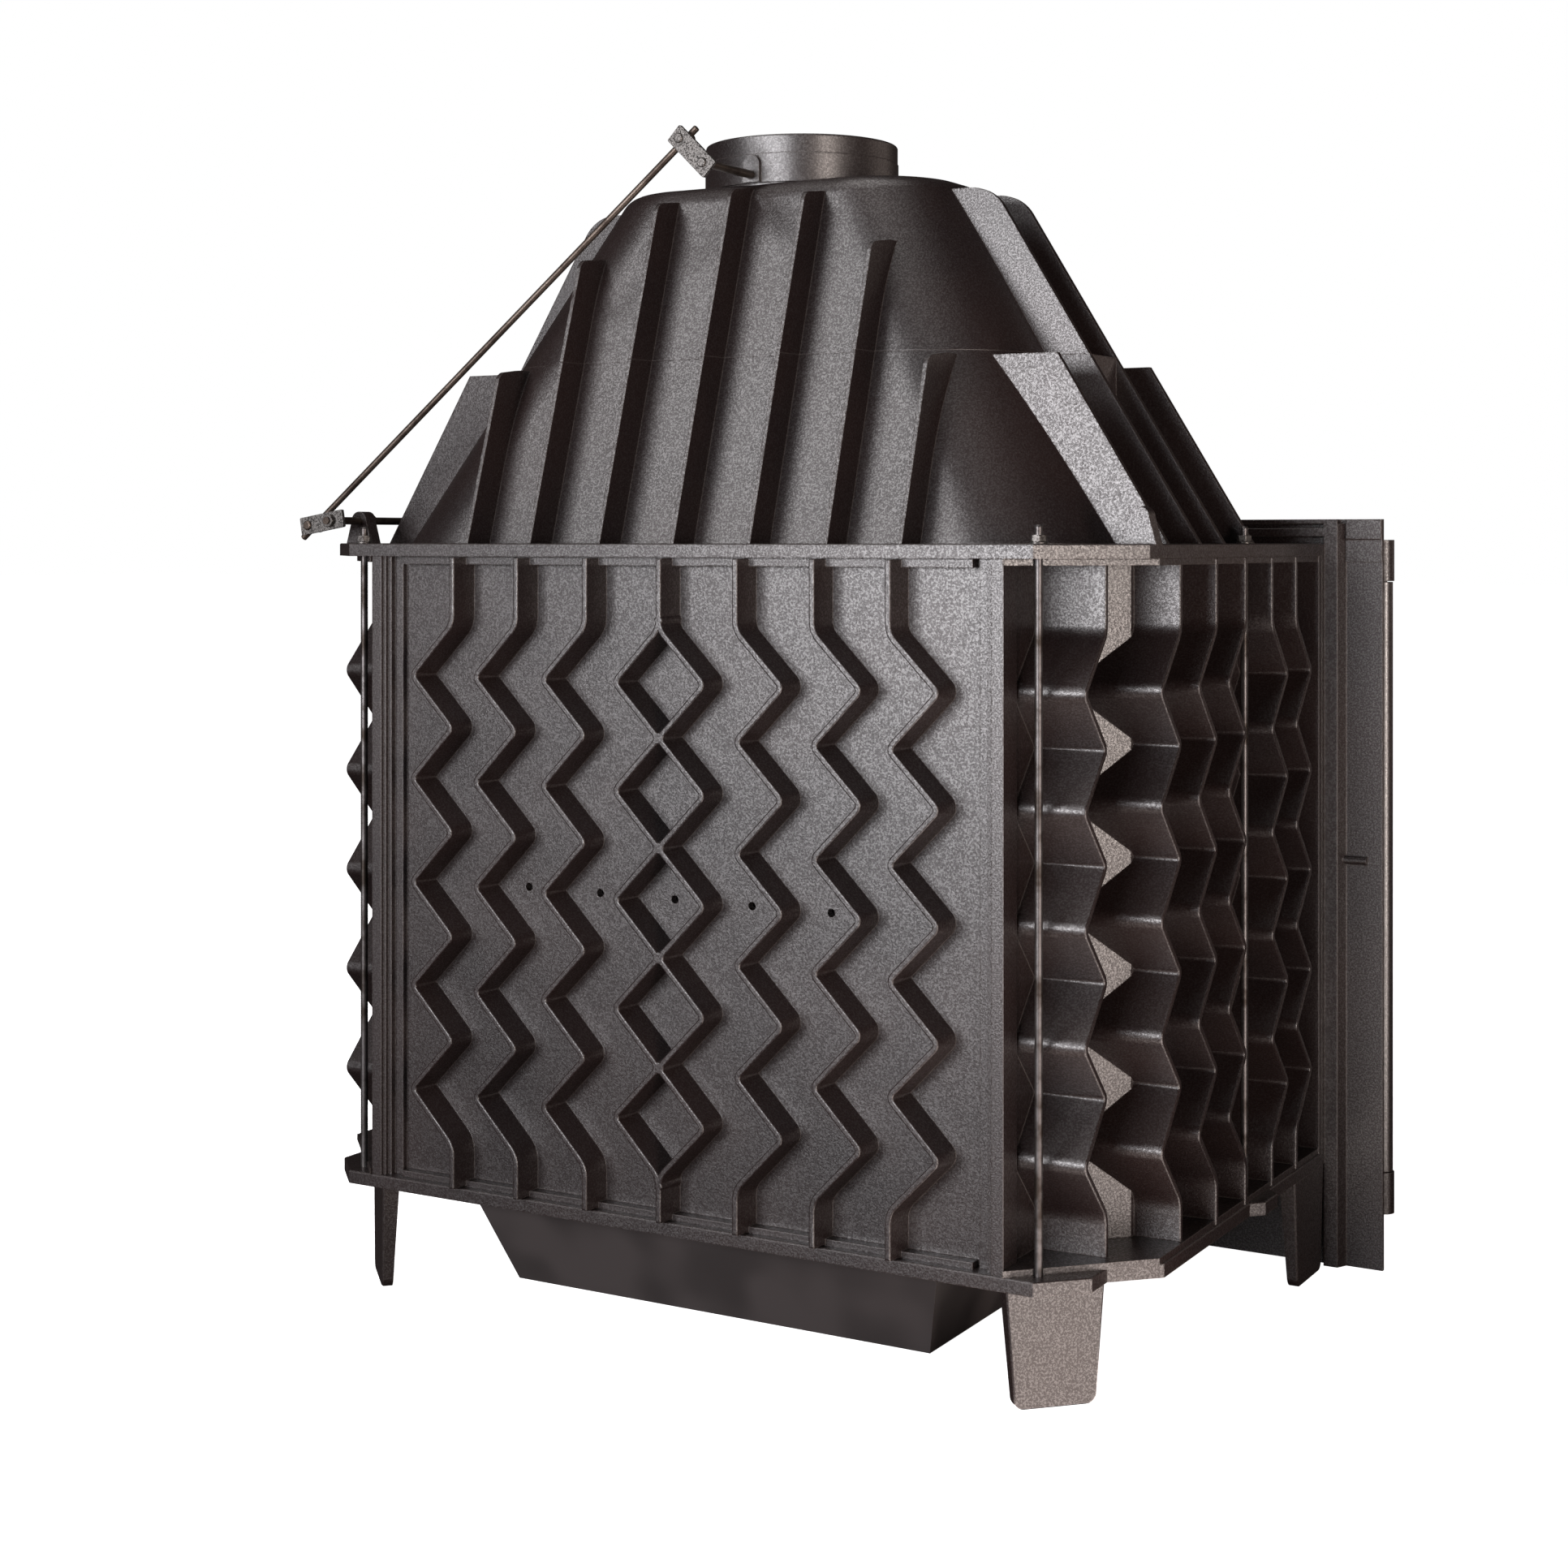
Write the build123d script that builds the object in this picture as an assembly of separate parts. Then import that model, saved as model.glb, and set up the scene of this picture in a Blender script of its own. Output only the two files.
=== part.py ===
from build123d import *
import math
import os

os.makedirs("parts", exist_ok=True)

# A cast-iron fireplace insert. All sizes are in millimetres.
# X runs across the insert, +Y to the back, +Z up, with the origin on the floor
# under the middle. The door is on the -Y side. "Left" and "right" are as seen
# from the door side, so left is -X. Depths are measured forward from the
# straight back edge of the two plates.

# Heights of the castings
leg_height = 110.0
plate_thickness = 13.0
chamber_height = 631.0
hood_height = 364.0
hood_split_height = 183.0
collar_height = 48.0

# Plan of the plates
back_half = 383.0
corner_cut = 78.0
plate_depth = 570.0
ear_reach = 39.0
ear_length = 34.0
mid_ear_out = 12.0
mid_ear_half = 30.0

# Tie rods
tie_rod_radius = 4.0
tie_rod_hole_clearance = 0.4
tie_rod_stub = 5.0
tie_rod_stud = 17.0
plate_edge = 1.0
rear_rod_inset = 3.5
rear_rod_depth = 20.0
mid_rod_depth = 371.0
side_rod_inset = 16.0
nut_flats = 13.0
nut_crown_share = 0.97
nut_chamfer = 0.8
rod_end_chamfer = 0.6
nut_height = 6.5
washer_radius = 8.0
washer_thickness = 1.6
thread_clearance = 0.1

# Back panel
post_inset = 29.0
post_width = 29.5
post_steps = ((0.0, 15.0), (10.5, 9.0), (14.5, 5.0), (17.5, 1.5))
field_depth = 21.0
field_thickness = 9.0
rail_depth = 9.0
rail_height = 8.0
low_rail_height = 6.0
rail_end_gap = 4.0
back_rib_proud = 9.3
back_rib_places = (84.6, 166.4, 244.6)
back_rib_end = 1.0
air_hole_radius = 4.0
air_hole_places = (0.0, 86.0, 171.0)

# Zigzag ribs
zig_pitch = 104.0
zig_ends = 100.0
zig_drop = 12.0
zig_sweep = 50.5
zig_radius = 7.0
zig_end_radius = 24.0
crossing_radius = 5.5
parting_radius = 4.2
parting_reach = 8.0
rib_tip = 5.6
rib_root = 12.0
rib_edge = 1.4

# Side panels
side_gap = 4.0
side_wall = 8.0
side_rib_reach = 49.0
facet_start = 93.0
facet_root = 20.0
side_flange = 6.0
side_flange_back_off = 1.5
side_flange_inset = 28.0
side_rib_sweep = 48.5
side_rib_end = 1.0
first_rib_depth = 85.0
first_rib_reach = 67.4
second_rib_depth = 166.0
second_rib_short = 4.0
rearward_rib_depths = (250.0, 332.0)
forward_rib_depths = (411.0, 487.0)
front_flange_thickness = 8.0
front_flange_gap = 2.0

# Hood
flue_depth = 268.0
hood_half_width = 401.0
hood_half_depth = 219.0
hood_side_slope = 0.588
hood_back_slope = 0.31
hood_base_corner = 118.0
hood_corner_slope = 0.06
hood_wall = 7.0
hood_shoulder = 26.0
hood_rib_tip = 4.0
hood_rib_root = 8.0
hood_rib_height = 34.0
hood_rib_slope = 0.305
hood_rib_corner = 14.0
hood_rib_head_fall = 4.5
hood_rib_tops = ((0.0, 357.0), (85.0, 348.0), (167.5, 293.0))
hood_low_rib_drop = 4.0
fin_out = 49.0
fin_slope = 0.61
fin_thickness = 7.0
tall_fin_offset = 33.0
short_fin_offset = 116.5
tall_fin_drop = 12.0
tall_fin_corner = 42.0
clamp_block_reach = 339.0
clamp_block_height = 85.0

# Flue collar and damper
flue_radius = 100.0
collar_wall = 8.0
collar_foot_proud = 0.8
collar_foot_height = 29.0
collar_lip = 12.0
collar_fit = 0.3
roof_hole_extra = 5.5
arch_half_width = 9.7
arch_height = 28.0
arch_proud = 5.0
damper_up = 7.5
damper_shaft_radius = 4.25
damper_disc_thickness = 4.0
damper_disc_gap = 2.0
damper_rib_radius = 8.0
damper_rib_inset = 12.0
running_clearance = 0.08
press_clearance = 0.04

# Damper drive
lug_x_inset = 16.0
lug_depth = 90.0
lug_thickness = 16.0
lug_base = 34.0
lug_top = 20.0
shaft_up = 24.0
control_shaft_radius = 4.0
control_shaft_thread = 7.0
crank_collar_radius = 7.0
crank_collar = 8.0
stop_collar_radius = 6.5
stop_collar = 6.0
lower_crank_depth = 45.0
upper_crank_depth = 72.0
crank_thickness = 4.0
lower_crank_width = 18.5
lower_crank_tail = 17.0
lower_crank_arm = 30.5
lower_crank_head = 10.0
lower_crank_angle = -9.2
upper_crank_width = 20.3
upper_crank_tail = 11.3
upper_crank_arm = 37.3
upper_crank_head = 8.5
upper_crank_angle = 44.0
crank_corner = 1.5
crank_nut_height = 5.0
rod_radius = 3.4
rod_overrun = 17.0
rod_overrun_low = 21.0
swivel_radius = 7.5
swivel_length = 16.0
swivel_gap = 0.3
stem_radius = 3.0
rivet_radius = 5.0
rivet_height = 2.5
rivet_dome = 1.75
knob_radius = 13.0
knob_length = 26.0
knob_standoff = 8.0
knob_blind = 4.0
knob_edge = 3.0
knob_flutes = 8
knob_flute_radius = 3.5
knob_flute_out = 2.0

# Front frame
frame_half = 520.0
frame_bottom = 1.0
frame_top_over_plate = 25.5
frame_face = 595.0
flange_plate = 5.0
fire_half_width = 441.0
fire_bottom = 135.0
fire_top_drop = 32.0
frame_back_gap = 0.4
bar_inner = 464.0
bar_outer = 475.0
bar_depth = 578.0
step_outer = 482.0
header_bar_low = 7.5
header_bar_high = 16.0
header_lip = 4.5
step_draft = 1.5
corner_chamfer = 1.0
location_pin_sunk = 4.0
location_pin_short = 16.0
location_pin_radius = 4.25
location_pin_up = 321.5
apron_thickness = 7.0
frame_screw_radius = 3.0
frame_screw_head = 5.5
frame_screw_inset = 10.0
frame_screw_web = 2.0
frame_screw_sink = 0.5
frame_screw_shares = (0.06, 0.36, 0.66, 0.94)
frame_screw_socket = 2.5
corner_block = 4.0
hinge_block = 2.0
hinge_block_height = 23.5
hinge_web_half = 9.0

# Door
door_gap = 0.5
door_thickness = 19.5
door_bottom = 48.0
door_bevel = 13.0
door_top_drop = 21.8
hinge_reach = 516.5
door_free_edge = 516.0
window_half = 400.0
window_bottom = 168.0
window_top = 690.0
window_corner = 18.0
window_step = 6.0
door_edge = 4.0
glass_lap = 12.0
glass_thickness = 4.0
seal_thickness = 1.8
fit_gap = 0.3
clip_half = 14.0
clip_spread = 240.0
clip_on_glass = 9.0
clip_on_frame = 15.0
clip_thickness = 3.0
clip_screw_out = 8.0
clip_screw_radius = 2.4
clip_screw_length = 8.0
knuckle_drop = 1.5
knuckle_height = 43.5
knuckle_radius = 11.2
knuckle_gap = 1.0
hinge_pin_inset = 4.0
hinge_pin_radius = 4.0
hinge_pin_in_door = 26.0
door_rope_half = 478.0
door_rope_width = 8.0
door_rope_depth = 6.0
door_rope_margin = 40.0
door_rope_over = 26.7
door_rope_slack = 0.1
door_rope_corner = 20.0

# Door latch
handle_x = 427.0
handle_z = 430.0
spindle_radius = 6.0
cam_radius = 9.0
cam_reach = 27.0
cam_half = 6.3
cam_thickness = 5.0
cam_gap = 1.5
spindle_collar = 4.0
spindle_end = 10.0
hub_length = 12.0
lever_offset = 26.0
keeper_wall = 5.0
pocket_below = 8.0
pocket_above = 5.0
pocket_depth_to = 17.0
handle_standoff = 35.3
grip_end_round = 4.0
grip_radius = 11.0
lever_length = 120.0
lever_radius = 5.0

# Ash hopper and drawer
ash_top_half = 266.0
ash_bottom_half = 236.0
ash_top_rear = 50.0
ash_bottom_rear = 94.0
ash_bottom = 10.0
ash_wall = 4.0
drawer_half = 166.0
drawer_rear = 130.0
drawer_height = 29.0
drawer_wall = 2.5
drawer_play = 1.5
drawer_front_extra = 16.0
drawer_front_bottom = 8.0
drawer_front_top = 46.0
drawer_front_thickness = 5.0
drawer_knob_radius = 11.0
drawer_rim = 1.5

# Hearth
grate_half_width = 190.0
grate_half_depth = 130.0
grate_depth = 300.0
grate_ledge = 14.0
grate_thickness = 7.0
grate_play = 1.0
grate_slot = 10.0
grate_bar = 12.0
lining_height = 437.0
lining_thickness = 18.0
lining_gap = 3.0
groove_radius = 6.0
groove_pitch = 72.0
groove_start = 18.0
baffle_thickness = 16.0
baffle_reach = 400.0
log_guard_height = 60.0
log_guard_depth = 545.0
log_guard_sill = 20.0
log_guard_bar = 12.0
log_guard_thickness = 10.0

# Legs
leg_top_width = 94.0
leg_bottom_width = 77.0
leg_top_thickness = 17.0
leg_bottom_thickness = 11.0
leg_corner = 10.0
leg_pad = 46.0
leg_pad_inset = 6.0
leg_rim = 1.5
leg_pad_thickness = 9.0
rear_leg_inset = 47.0
rear_leg_along = 431.5
front_leg_depth = 528.0
leg_bolt_radius = 4.0
leg_bolt_spread = 25.0

# Air slider
air_slot_x = 300.0
air_slot_z = 28.0
air_slot_pitch = 36.0
air_slot_width = 16.0
air_slot_height = 12.0
air_slot_margin = 14.0
slider_height = 30.0
slider_thickness = 3.0
slider_screw_radius = 3.0
slider_slot_clearance = 0.5
air_knob_radius = 8.0

# Places worked out from the sizes above
bottom_top = leg_height + plate_thickness
top_under = bottom_top + chamber_height
top_face = top_under + plate_thickness
hood_top = top_face + hood_height
hood_split = top_face + hood_split_height
collar_top = hood_top + collar_height
half_width = back_half + corner_cut
door_rear = frame_face + door_gap
door_front = door_rear + door_thickness
front_reach = door_front + handle_standoff + grip_radius
back_y = (front_reach - back_rib_proud) / 2
post_outer = back_half - post_inset
post_inner = post_outer - post_width
side_rear_half = post_outer - side_gap
side_half = half_width - side_rib_reach
facet_end = facet_start + side_half - side_rear_half
flange_front = plate_depth - front_flange_gap
frame_top = top_face + frame_top_over_plate
fire_top = top_under - fire_top_drop
door_top = frame_top - door_top_drop
hinge_axis_depth = door_rear + door_thickness / 2
lug_x = half_width - lug_x_inset
frame_screw_x = fire_half_width + frame_screw_inset
shaft_z = top_face + shaft_up
damper_z = hood_top + damper_up
bore_radius = flue_radius - collar_wall
disc_radius = bore_radius - damper_disc_gap
slider_travel = air_slot_pitch / 2
tie_rod_places = (
    (back_half - rear_rod_inset, rear_rod_depth),
    (half_width - side_rod_inset, mid_rod_depth),
)


def at(depth):
    """The Y of a depth forward from the plates' back edge."""
    return back_y - depth


def block(x0, x1, d0, d1, z0, z1):
    """A box between two widths, two depths and two heights."""
    place = Pos((x0 + x1) / 2, at((d0 + d1) / 2), (z0 + z1) / 2)
    return place * Box(abs(x1 - x0), abs(d1 - d0), abs(z1 - z0))


def upright(radius, x, depth, z0, z1):
    """A vertical cylinder."""
    return Pos(x, at(depth), (z0 + z1) / 2) * Cylinder(radius, abs(z1 - z0))


def lengthwise(radius, x, z, d0, d1):
    """A cylinder along Y between two depths."""
    place = Pos(x, at((d0 + d1) / 2), z) * Rot(90, 0, 0)
    return place * Cylinder(radius, abs(d1 - d0))


def crosswise(radius, depth, z, x0, x1):
    """A cylinder along X."""
    place = Pos((x0 + x1) / 2, at(depth), z) * Rot(0, 90, 0)
    return place * Cylinder(radius, abs(x1 - x0))


def plan(points, z0, z1):
    """A prism from an outline of widths and depths."""
    outline = Polyline(*[(x, at(depth), z0) for x, depth in points], close=True)
    return extrude(make_face(outline), z1 - z0, dir=(0, 0, 1))


def profile(points, d0, d1):
    """A prism along Y from an outline of widths and heights."""
    outline = Polyline(*[(x, at(d0), z) for x, z in points], close=True)
    return extrude(make_face(outline), d1 - d0, dir=(0, -1, 0))


def side_profile(points, x0, x1):
    """A prism along X from an outline of depths and heights."""
    outline = Polyline(*[(x0, at(depth), z) for depth, z in points], close=True)
    return extrude(make_face(outline), x1 - x0, dir=(1, 0, 0))


def both_sides(solid):
    """A solid and its mirror image across the middle of the insert."""
    return [solid, mirror(solid, about=Plane.YZ)]


def save(node, *solids):
    """Write one node's solids."""
    pieces = []
    for solid in solids:
        pieces.extend(solid.solids())
    shape = pieces[0] if len(pieces) == 1 else Compound(children=pieces)
    export_step(shape, f"parts/{node}.step")


def half_outline(right):
    """A closed symmetric outline from the points of its right half."""
    left = [(-x, depth) for x, depth in reversed(right)]
    return list(right) + left


def unit(a, b):
    """The direction from one point to another."""
    length = math.hypot(b[0] - a[0], b[1] - a[1])
    return (b[0] - a[0]) / length, (b[1] - a[1]) / length


def beside(points, offset):
    """An open line moved sideways, with mitred corners."""
    moved = []
    for i, (s, z) in enumerate(points):
        into = unit(points[max(i - 1, 0)], points[max(i, 1)])
        last = len(points) - 1
        out = unit(points[min(i, last - 1)], points[min(i + 1, last)])
        share = offset / (1 + into[0] * out[0] + into[1] * out[1])
        moved.append((s - (into[1] + out[1]) * share, z + (into[0] + out[0]) * share))
    return moved


def band(points, width):
    """A face of one width along a zigzag line, with wide bends at its two ends."""
    turns = []
    for before, here, after in zip(points, points[1:], points[2:]):
        into, out = unit(before, here), unit(here, after)
        turns.append(1 if into[0] * out[1] - into[1] * out[0] > 0 else -1)
    radii = [zig_end_radius] + [zig_radius] * (len(turns) - 2) + [zig_end_radius]
    left = [radius - turn * width / 2 for radius, turn in zip(radii, turns)]
    right = [radius + turn * width / 2 for radius, turn in zip(radii, turns)]
    sides = (beside(points, width / 2), beside(points, -width / 2))
    one = FilletPolyline(*sides[0], radius=left)
    other = FilletPolyline(*sides[1], radius=right)
    ends = Line(sides[0][0], sides[1][0]) + Line(sides[0][-1], sides[1][-1])
    return make_face(one + other + ends)


def zig_heights():
    """The heights of a zigzag's corners, from the top down."""
    count = int((chamber_height - zig_ends) / zig_pitch)
    middle = (bottom_top + top_under) / 2 - zig_drop
    start = middle + count * zig_pitch / 2
    return [start - step * zig_pitch / 2 for step in range(2 * count + 1)]


def zigzag(sweep, low, high):
    """The line of a zigzag rib, straight at both ends."""
    points = [(0.0, high)]
    for step, z in enumerate(zig_heights()):
        points.append((sweep * (step % 2), z))
    points.append((0.0, low))
    return points


def drafted(points, root_plane, tip_plane):
    """A rib that stands on a line, thicker at its root than at its tip."""
    root = root_plane * band(points, rib_root)
    tip = tip_plane * band(points, rib_tip)
    rib = loft([root, tip], ruled=True)
    towards = tip_plane.origin - root_plane.origin
    axis = Axis((0, 0, 0), towards)
    edge_face = rib.faces().sort_by(axis)[-1]
    return fillet(edge_face.edges(), rib_edge)


def back_plane(x, depth):
    """An upright plane across the insert, its own axes along X and Z."""
    return Plane(origin=(x, at(depth), 0), x_dir=(1, 0, 0), z_dir=(0, -1, 0))


def side_plane(x, depth):
    """An upright plane along the insert, its own axes along Y and Z."""
    return Plane(origin=(x, at(depth), 0), x_dir=(0, 1, 0), z_dir=(1, 0, 0))


def rod_holes(z0, z1, radius):
    """The holes for the tie rods through a plate."""
    cutters = []
    for x, depth in tie_rod_places:
        cutters.extend(both_sides(upright(radius, x, depth, z0, z1)))
    return cutters


# Hood outline at a height, drawn in by a wall thickness
def hood_section(z, inset):
    rise = z - top_face
    half_x = hood_half_width - hood_side_slope * rise - inset
    half_y = hood_half_depth - hood_back_slope * rise - inset
    corner = hood_base_corner - hood_corner_slope * rise - inset
    return Pos(0, at(flue_depth), z) * RectangleRounded(2 * half_x, 2 * half_y, corner)


def hood_shell(z0, z1, inset):
    return loft([hood_section(z0, inset), hood_section(z1, inset)], ruled=True)


# Plates
def bottom_plate():
    ear = back_half + ear_reach
    right = [
        (back_half, 0),
        (ear, ear_reach),
        (ear, ear_reach + ear_length),
        (half_width, 2 * ear_reach + ear_length),
        (half_width, mid_rod_depth - mid_ear_half),
        (half_width + mid_ear_out, mid_rod_depth - mid_ear_half + mid_ear_out),
        (half_width + mid_ear_out, mid_rod_depth + mid_ear_half - mid_ear_out),
        (half_width, mid_rod_depth + mid_ear_half),
        (half_width, plate_depth),
    ]
    plate = plan(half_outline(right), leg_height, bottom_top)
    plate = chamfer(plate.faces().sort_by(Axis.Z)[-1].outer_wire().edges(), plate_edge)
    hole_x = grate_half_width - grate_ledge
    hole_d = grate_half_depth - grate_ledge
    near, far = grate_depth - hole_d, grate_depth + hole_d
    plate -= block(-hole_x, hole_x, near, far, leg_height - 1, bottom_top + 1)
    near, far = grate_depth - grate_half_depth, grate_depth + grate_half_depth
    seat = bottom_top - grate_thickness - grate_play
    plate -= block(-grate_half_width, grate_half_width, near, far, seat, bottom_top + 1)
    hole = tie_rod_radius + thread_clearance
    for cutter in rod_holes(leg_height - 1, bottom_top + 1, hole):
        plate -= cutter
    bolt_hole = leg_bolt_radius + thread_clearance
    for x, depth in leg_bolt_places():
        plate -= upright(bolt_hole, x, depth, leg_height - 1, bottom_top + 1)
    return plate


def lug(side):
    """An arch-topped lug on the top plate."""
    half, crown = lug_base / 2, lug_top / 2
    x = side * lug_x
    outline = [
        (x - half, top_face - 1),
        (x + half, top_face - 1),
        (x + crown, shaft_z),
        (x - crown, shaft_z),
    ]
    arch = profile(outline, lug_depth, lug_depth + lug_thickness)
    return arch + lengthwise(crown, x, shaft_z, lug_depth, lug_depth + lug_thickness)


def top_plate():
    right = [(back_half, 0), (half_width, corner_cut), (half_width, plate_depth)]
    plate = plan(half_outline(right), top_under, top_face)
    plate = chamfer(plate.faces().sort_by(Axis.Z)[-1].outer_wire().edges(), plate_edge)
    opening = hood_section(top_face, 2 * hood_wall)
    plate -= extrude(Pos(0, 0, 1) * opening, -plate_thickness - 2)
    for side in (-1, 1):
        plate += lug(side)
    hole = tie_rod_radius + tie_rod_hole_clearance
    for cutter in rod_holes(top_under - 1, top_face + 1, hole):
        plate -= cutter
    bore = control_shaft_radius + running_clearance
    lug_front = lug_depth + lug_thickness
    return plate - lengthwise(bore, lug_x, shaft_z, lug_depth - 1, lug_front + 1)


# Back panel with its posts, rails, ribs and air holes
def post():
    deep = field_depth + field_thickness
    right = [(post_inner, deep)]
    for i, (across, depth) in enumerate(post_steps):
        right.append((post_inner + across, depth))
        if i + 1 < len(post_steps):
            right.append((post_inner + post_steps[i + 1][0], depth))
    right.append((post_outer, post_steps[-1][1]))
    right.append((post_outer, deep))
    return plan(right, bottom_top, top_under)


def back_rib(x, sweep):
    line = zigzag(sweep, bottom_top + back_rib_end, top_under - back_rib_end)
    return drafted(line, back_plane(x, field_depth + 1), back_plane(x, -back_rib_proud))


def rib_knot(z, radius):
    """A round drafted knot on the middle of the back."""
    root_radius = radius + (rib_root - rib_tip) / 2
    root = back_plane(0, field_depth + 1) * Pos(0, z) * Circle(root_radius)
    tip = back_plane(0, -back_rib_proud) * Pos(0, z) * Circle(radius)
    knot = loft([root, tip], ruled=True)
    return fillet(knot.faces().sort_by(Axis.Y)[-1].edges(), rib_edge)


def rib_knots():
    """The knots between the diamonds, and where the two middle ribs part at the ends."""
    heights = zig_heights()
    knots = [rib_knot(z, crossing_radius) for z in heights[2:-2:2]]
    knots.append(rib_knot(heights[0] + parting_reach, parting_radius))
    knots.append(rib_knot(heights[-1] - parting_reach, parting_radius))
    return knots


def back_panel():
    inner = post_inner + 1
    deep = field_depth + field_thickness
    panel = block(-inner, inner, field_depth, deep, bottom_top, top_under)
    for solid in both_sides(post()):
        panel += solid
    inner = post_inner - rail_end_gap
    low, high = bottom_top + low_rail_height, top_under - rail_height
    panel += block(-inner, inner, rail_depth, field_depth + 1, bottom_top, low)
    panel += block(-inner, inner, rail_depth, field_depth + 1, high, top_under)
    panel += back_rib(0, zig_sweep) + back_rib(0, -zig_sweep)
    for knot in rib_knots():
        panel += knot
    for place in back_rib_places:
        rib = back_rib(place, zig_sweep)
        panel += rib
        panel += mirror(rib, about=Plane.YZ)
    corners = zig_heights()
    middle = (corners[0] + corners[-1]) / 2
    for place in air_hole_places:
        for x in {place, -place}:
            panel -= lengthwise(air_hole_radius, x, middle, field_depth - 1, deep + 1)
    return panel


# Right side panel, mirrored for the left
def side_rib(depth, sweep, root, tip, end):
    """A rib that stops at its own distance from the two plates."""
    line = zigzag(sweep, bottom_top + end, top_under - end)
    return drafted(line, side_plane(root, depth), side_plane(tip, depth))


def side_panel():
    rear = field_depth + field_thickness + fit_gap
    wall = [
        (side_rear_half, rear),
        (side_rear_half, facet_start),
        (side_half, facet_end),
        (side_half, flange_front),
    ]
    inner = beside(wall, side_wall)
    if inner[0][0] > side_rear_half:
        inner = beside(wall, -side_wall)
    panel = plan(wall + inner[::-1], bottom_top, top_under)
    hollow = plan(inner + [(0, flange_front), (0, rear)], bottom_top - 1, top_under + 1)
    line = back_half - side_flange_inset
    clear_of_post = post_outer + fit_gap
    flange_out = half_width - side_flange_back_off
    flange = [
        (clear_of_post, clear_of_post - line - 1),
        (flange_out, flange_out - line),
        (flange_out, flange_front),
        (side_half - 2, flange_front),
        (side_half - 2, facet_end),
        (side_rear_half - 2, facet_start),
        (side_rear_half - 2, rear),
        (clear_of_post, rear),
    ]
    panel += plan(flange, bottom_top, bottom_top + side_flange)
    panel += plan(flange, top_under - side_flange, top_under)
    flange_back = flange_front - front_flange_thickness
    panel += block(side_half - 2, half_width, flange_back, flange_front, bottom_top, top_under)
    root, tip = side_rear_half - 3, side_rear_half + first_rib_reach
    panel += side_rib(first_rib_depth, side_rib_sweep, root, tip, side_flange - 1)
    root, tip = side_rear_half + facet_root, half_width - second_rib_short
    panel += side_rib(second_rib_depth, side_rib_sweep, root, tip, side_flange - 1)
    for depth in rearward_rib_depths:
        panel += side_rib(depth, side_rib_sweep, side_half - 3, half_width, side_rib_end)
    for depth in forward_rib_depths:
        panel += side_rib(depth, -side_rib_sweep, side_half - 3, half_width, side_rib_end)
    panel -= hollow
    panel -= block(0, clear_of_post, -1, rear, bottom_top - 1, top_under + 1)
    hole = tie_rod_radius + tie_rod_hole_clearance
    for x, depth in tie_rod_places:
        panel -= upright(hole, x, depth, bottom_top - 1, top_under + 1)
    for z in frame_screw_heights():
        bore, blind = frame_screw_radius + thread_clearance, flange_back + frame_screw_web
        panel -= lengthwise(bore, frame_screw_x, z, blind, flange_front + 1)
    return panel


# Hood castings
def hood_rib_width(below_tip):
    """Half of a hood rib's width at a distance below its tip."""
    draft = (hood_rib_root - hood_rib_tip) / hood_rib_height
    return (hood_rib_tip + draft * below_tip) / 2


def hood_rib(x, rise, base, top_end):
    """A drafted rib on the back of the hood, through the wall, with a rounded head."""
    z0, z1 = top_face + base, top_face + rise
    face = flue_depth - hood_half_depth
    inside = flue_depth
    foot = face - hood_rib_height + hood_rib_slope * base
    head = face - hood_rib_height + hood_rib_slope * rise
    fall = hood_rib_head_fall if top_end else 0
    shoulder = head + hood_rib_height
    outline = [(foot, z0), (head, z1 - fall), (shoulder, z1), (inside, z1), (inside, z0)]
    rib = side_profile(outline, x - hood_rib_width(inside), x + hood_rib_width(inside))
    if top_end:
        corner = [e for e in rib.edges().filter_by(Axis.X) if near(e, head, z1 - fall)]
        rib = fillet(corner, hood_rib_corner)
    sections = []
    for z, tip in ((z0, foot), (z1, head)):
        wide = hood_rib_width(inside - tip)
        narrow = hood_rib_tip / 2
        points = [(x - narrow, tip), (x + narrow, tip), (x + wide, inside), (x - wide, inside)]
        sections.append(make_face(Polyline(*[(px, at(d), z) for px, d in points], close=True)))
    return rib & loft(sections, ruled=True)


def hood_ribs(base, top):
    """The ribs of one hood casting, front and back."""
    ribs = []
    places = list(hood_rib_tops)
    if base == 0:
        places.append((back_rib_places[-1], hood_split_height - hood_low_rib_drop))
    for place, rise in places:
        ends_here = rise <= top
        for x in sorted({place, -place}):
            rib = hood_rib(x, min(rise, top), base, ends_here)
            ribs.append(rib)
            ribs.append(mirror(rib, about=Plane((0, at(flue_depth), 0), z_dir=(0, 1, 0))))
    return ribs


def near(edge, depth, z):
    """Whether an edge passes a place given by its depth and height."""
    middle = edge.center()
    return abs(middle.Y - at(depth)) < 0.01 and abs(middle.Z - z) < 0.01


def fin(depth, base, top, drop, corner):
    """A fin across the side of the hood, standing out to the right."""
    z0, z1 = top_face + base, top_face + top - drop
    reach = hood_half_width + fin_out
    foot = reach - fin_slope * base
    head = reach - fin_slope * (top - drop)
    points = [(0, z0), (foot, z0), (head, z1), (0, z1)]
    plate = profile(points, depth - fin_thickness / 2, depth + fin_thickness / 2)
    if corner:
        top_edges = plate.edges().filter_by(Axis.Y).group_by(Axis.Z)[-1]
        plate = fillet(top_edges.sort_by(Axis.X)[-1], corner)
    return plate


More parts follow.
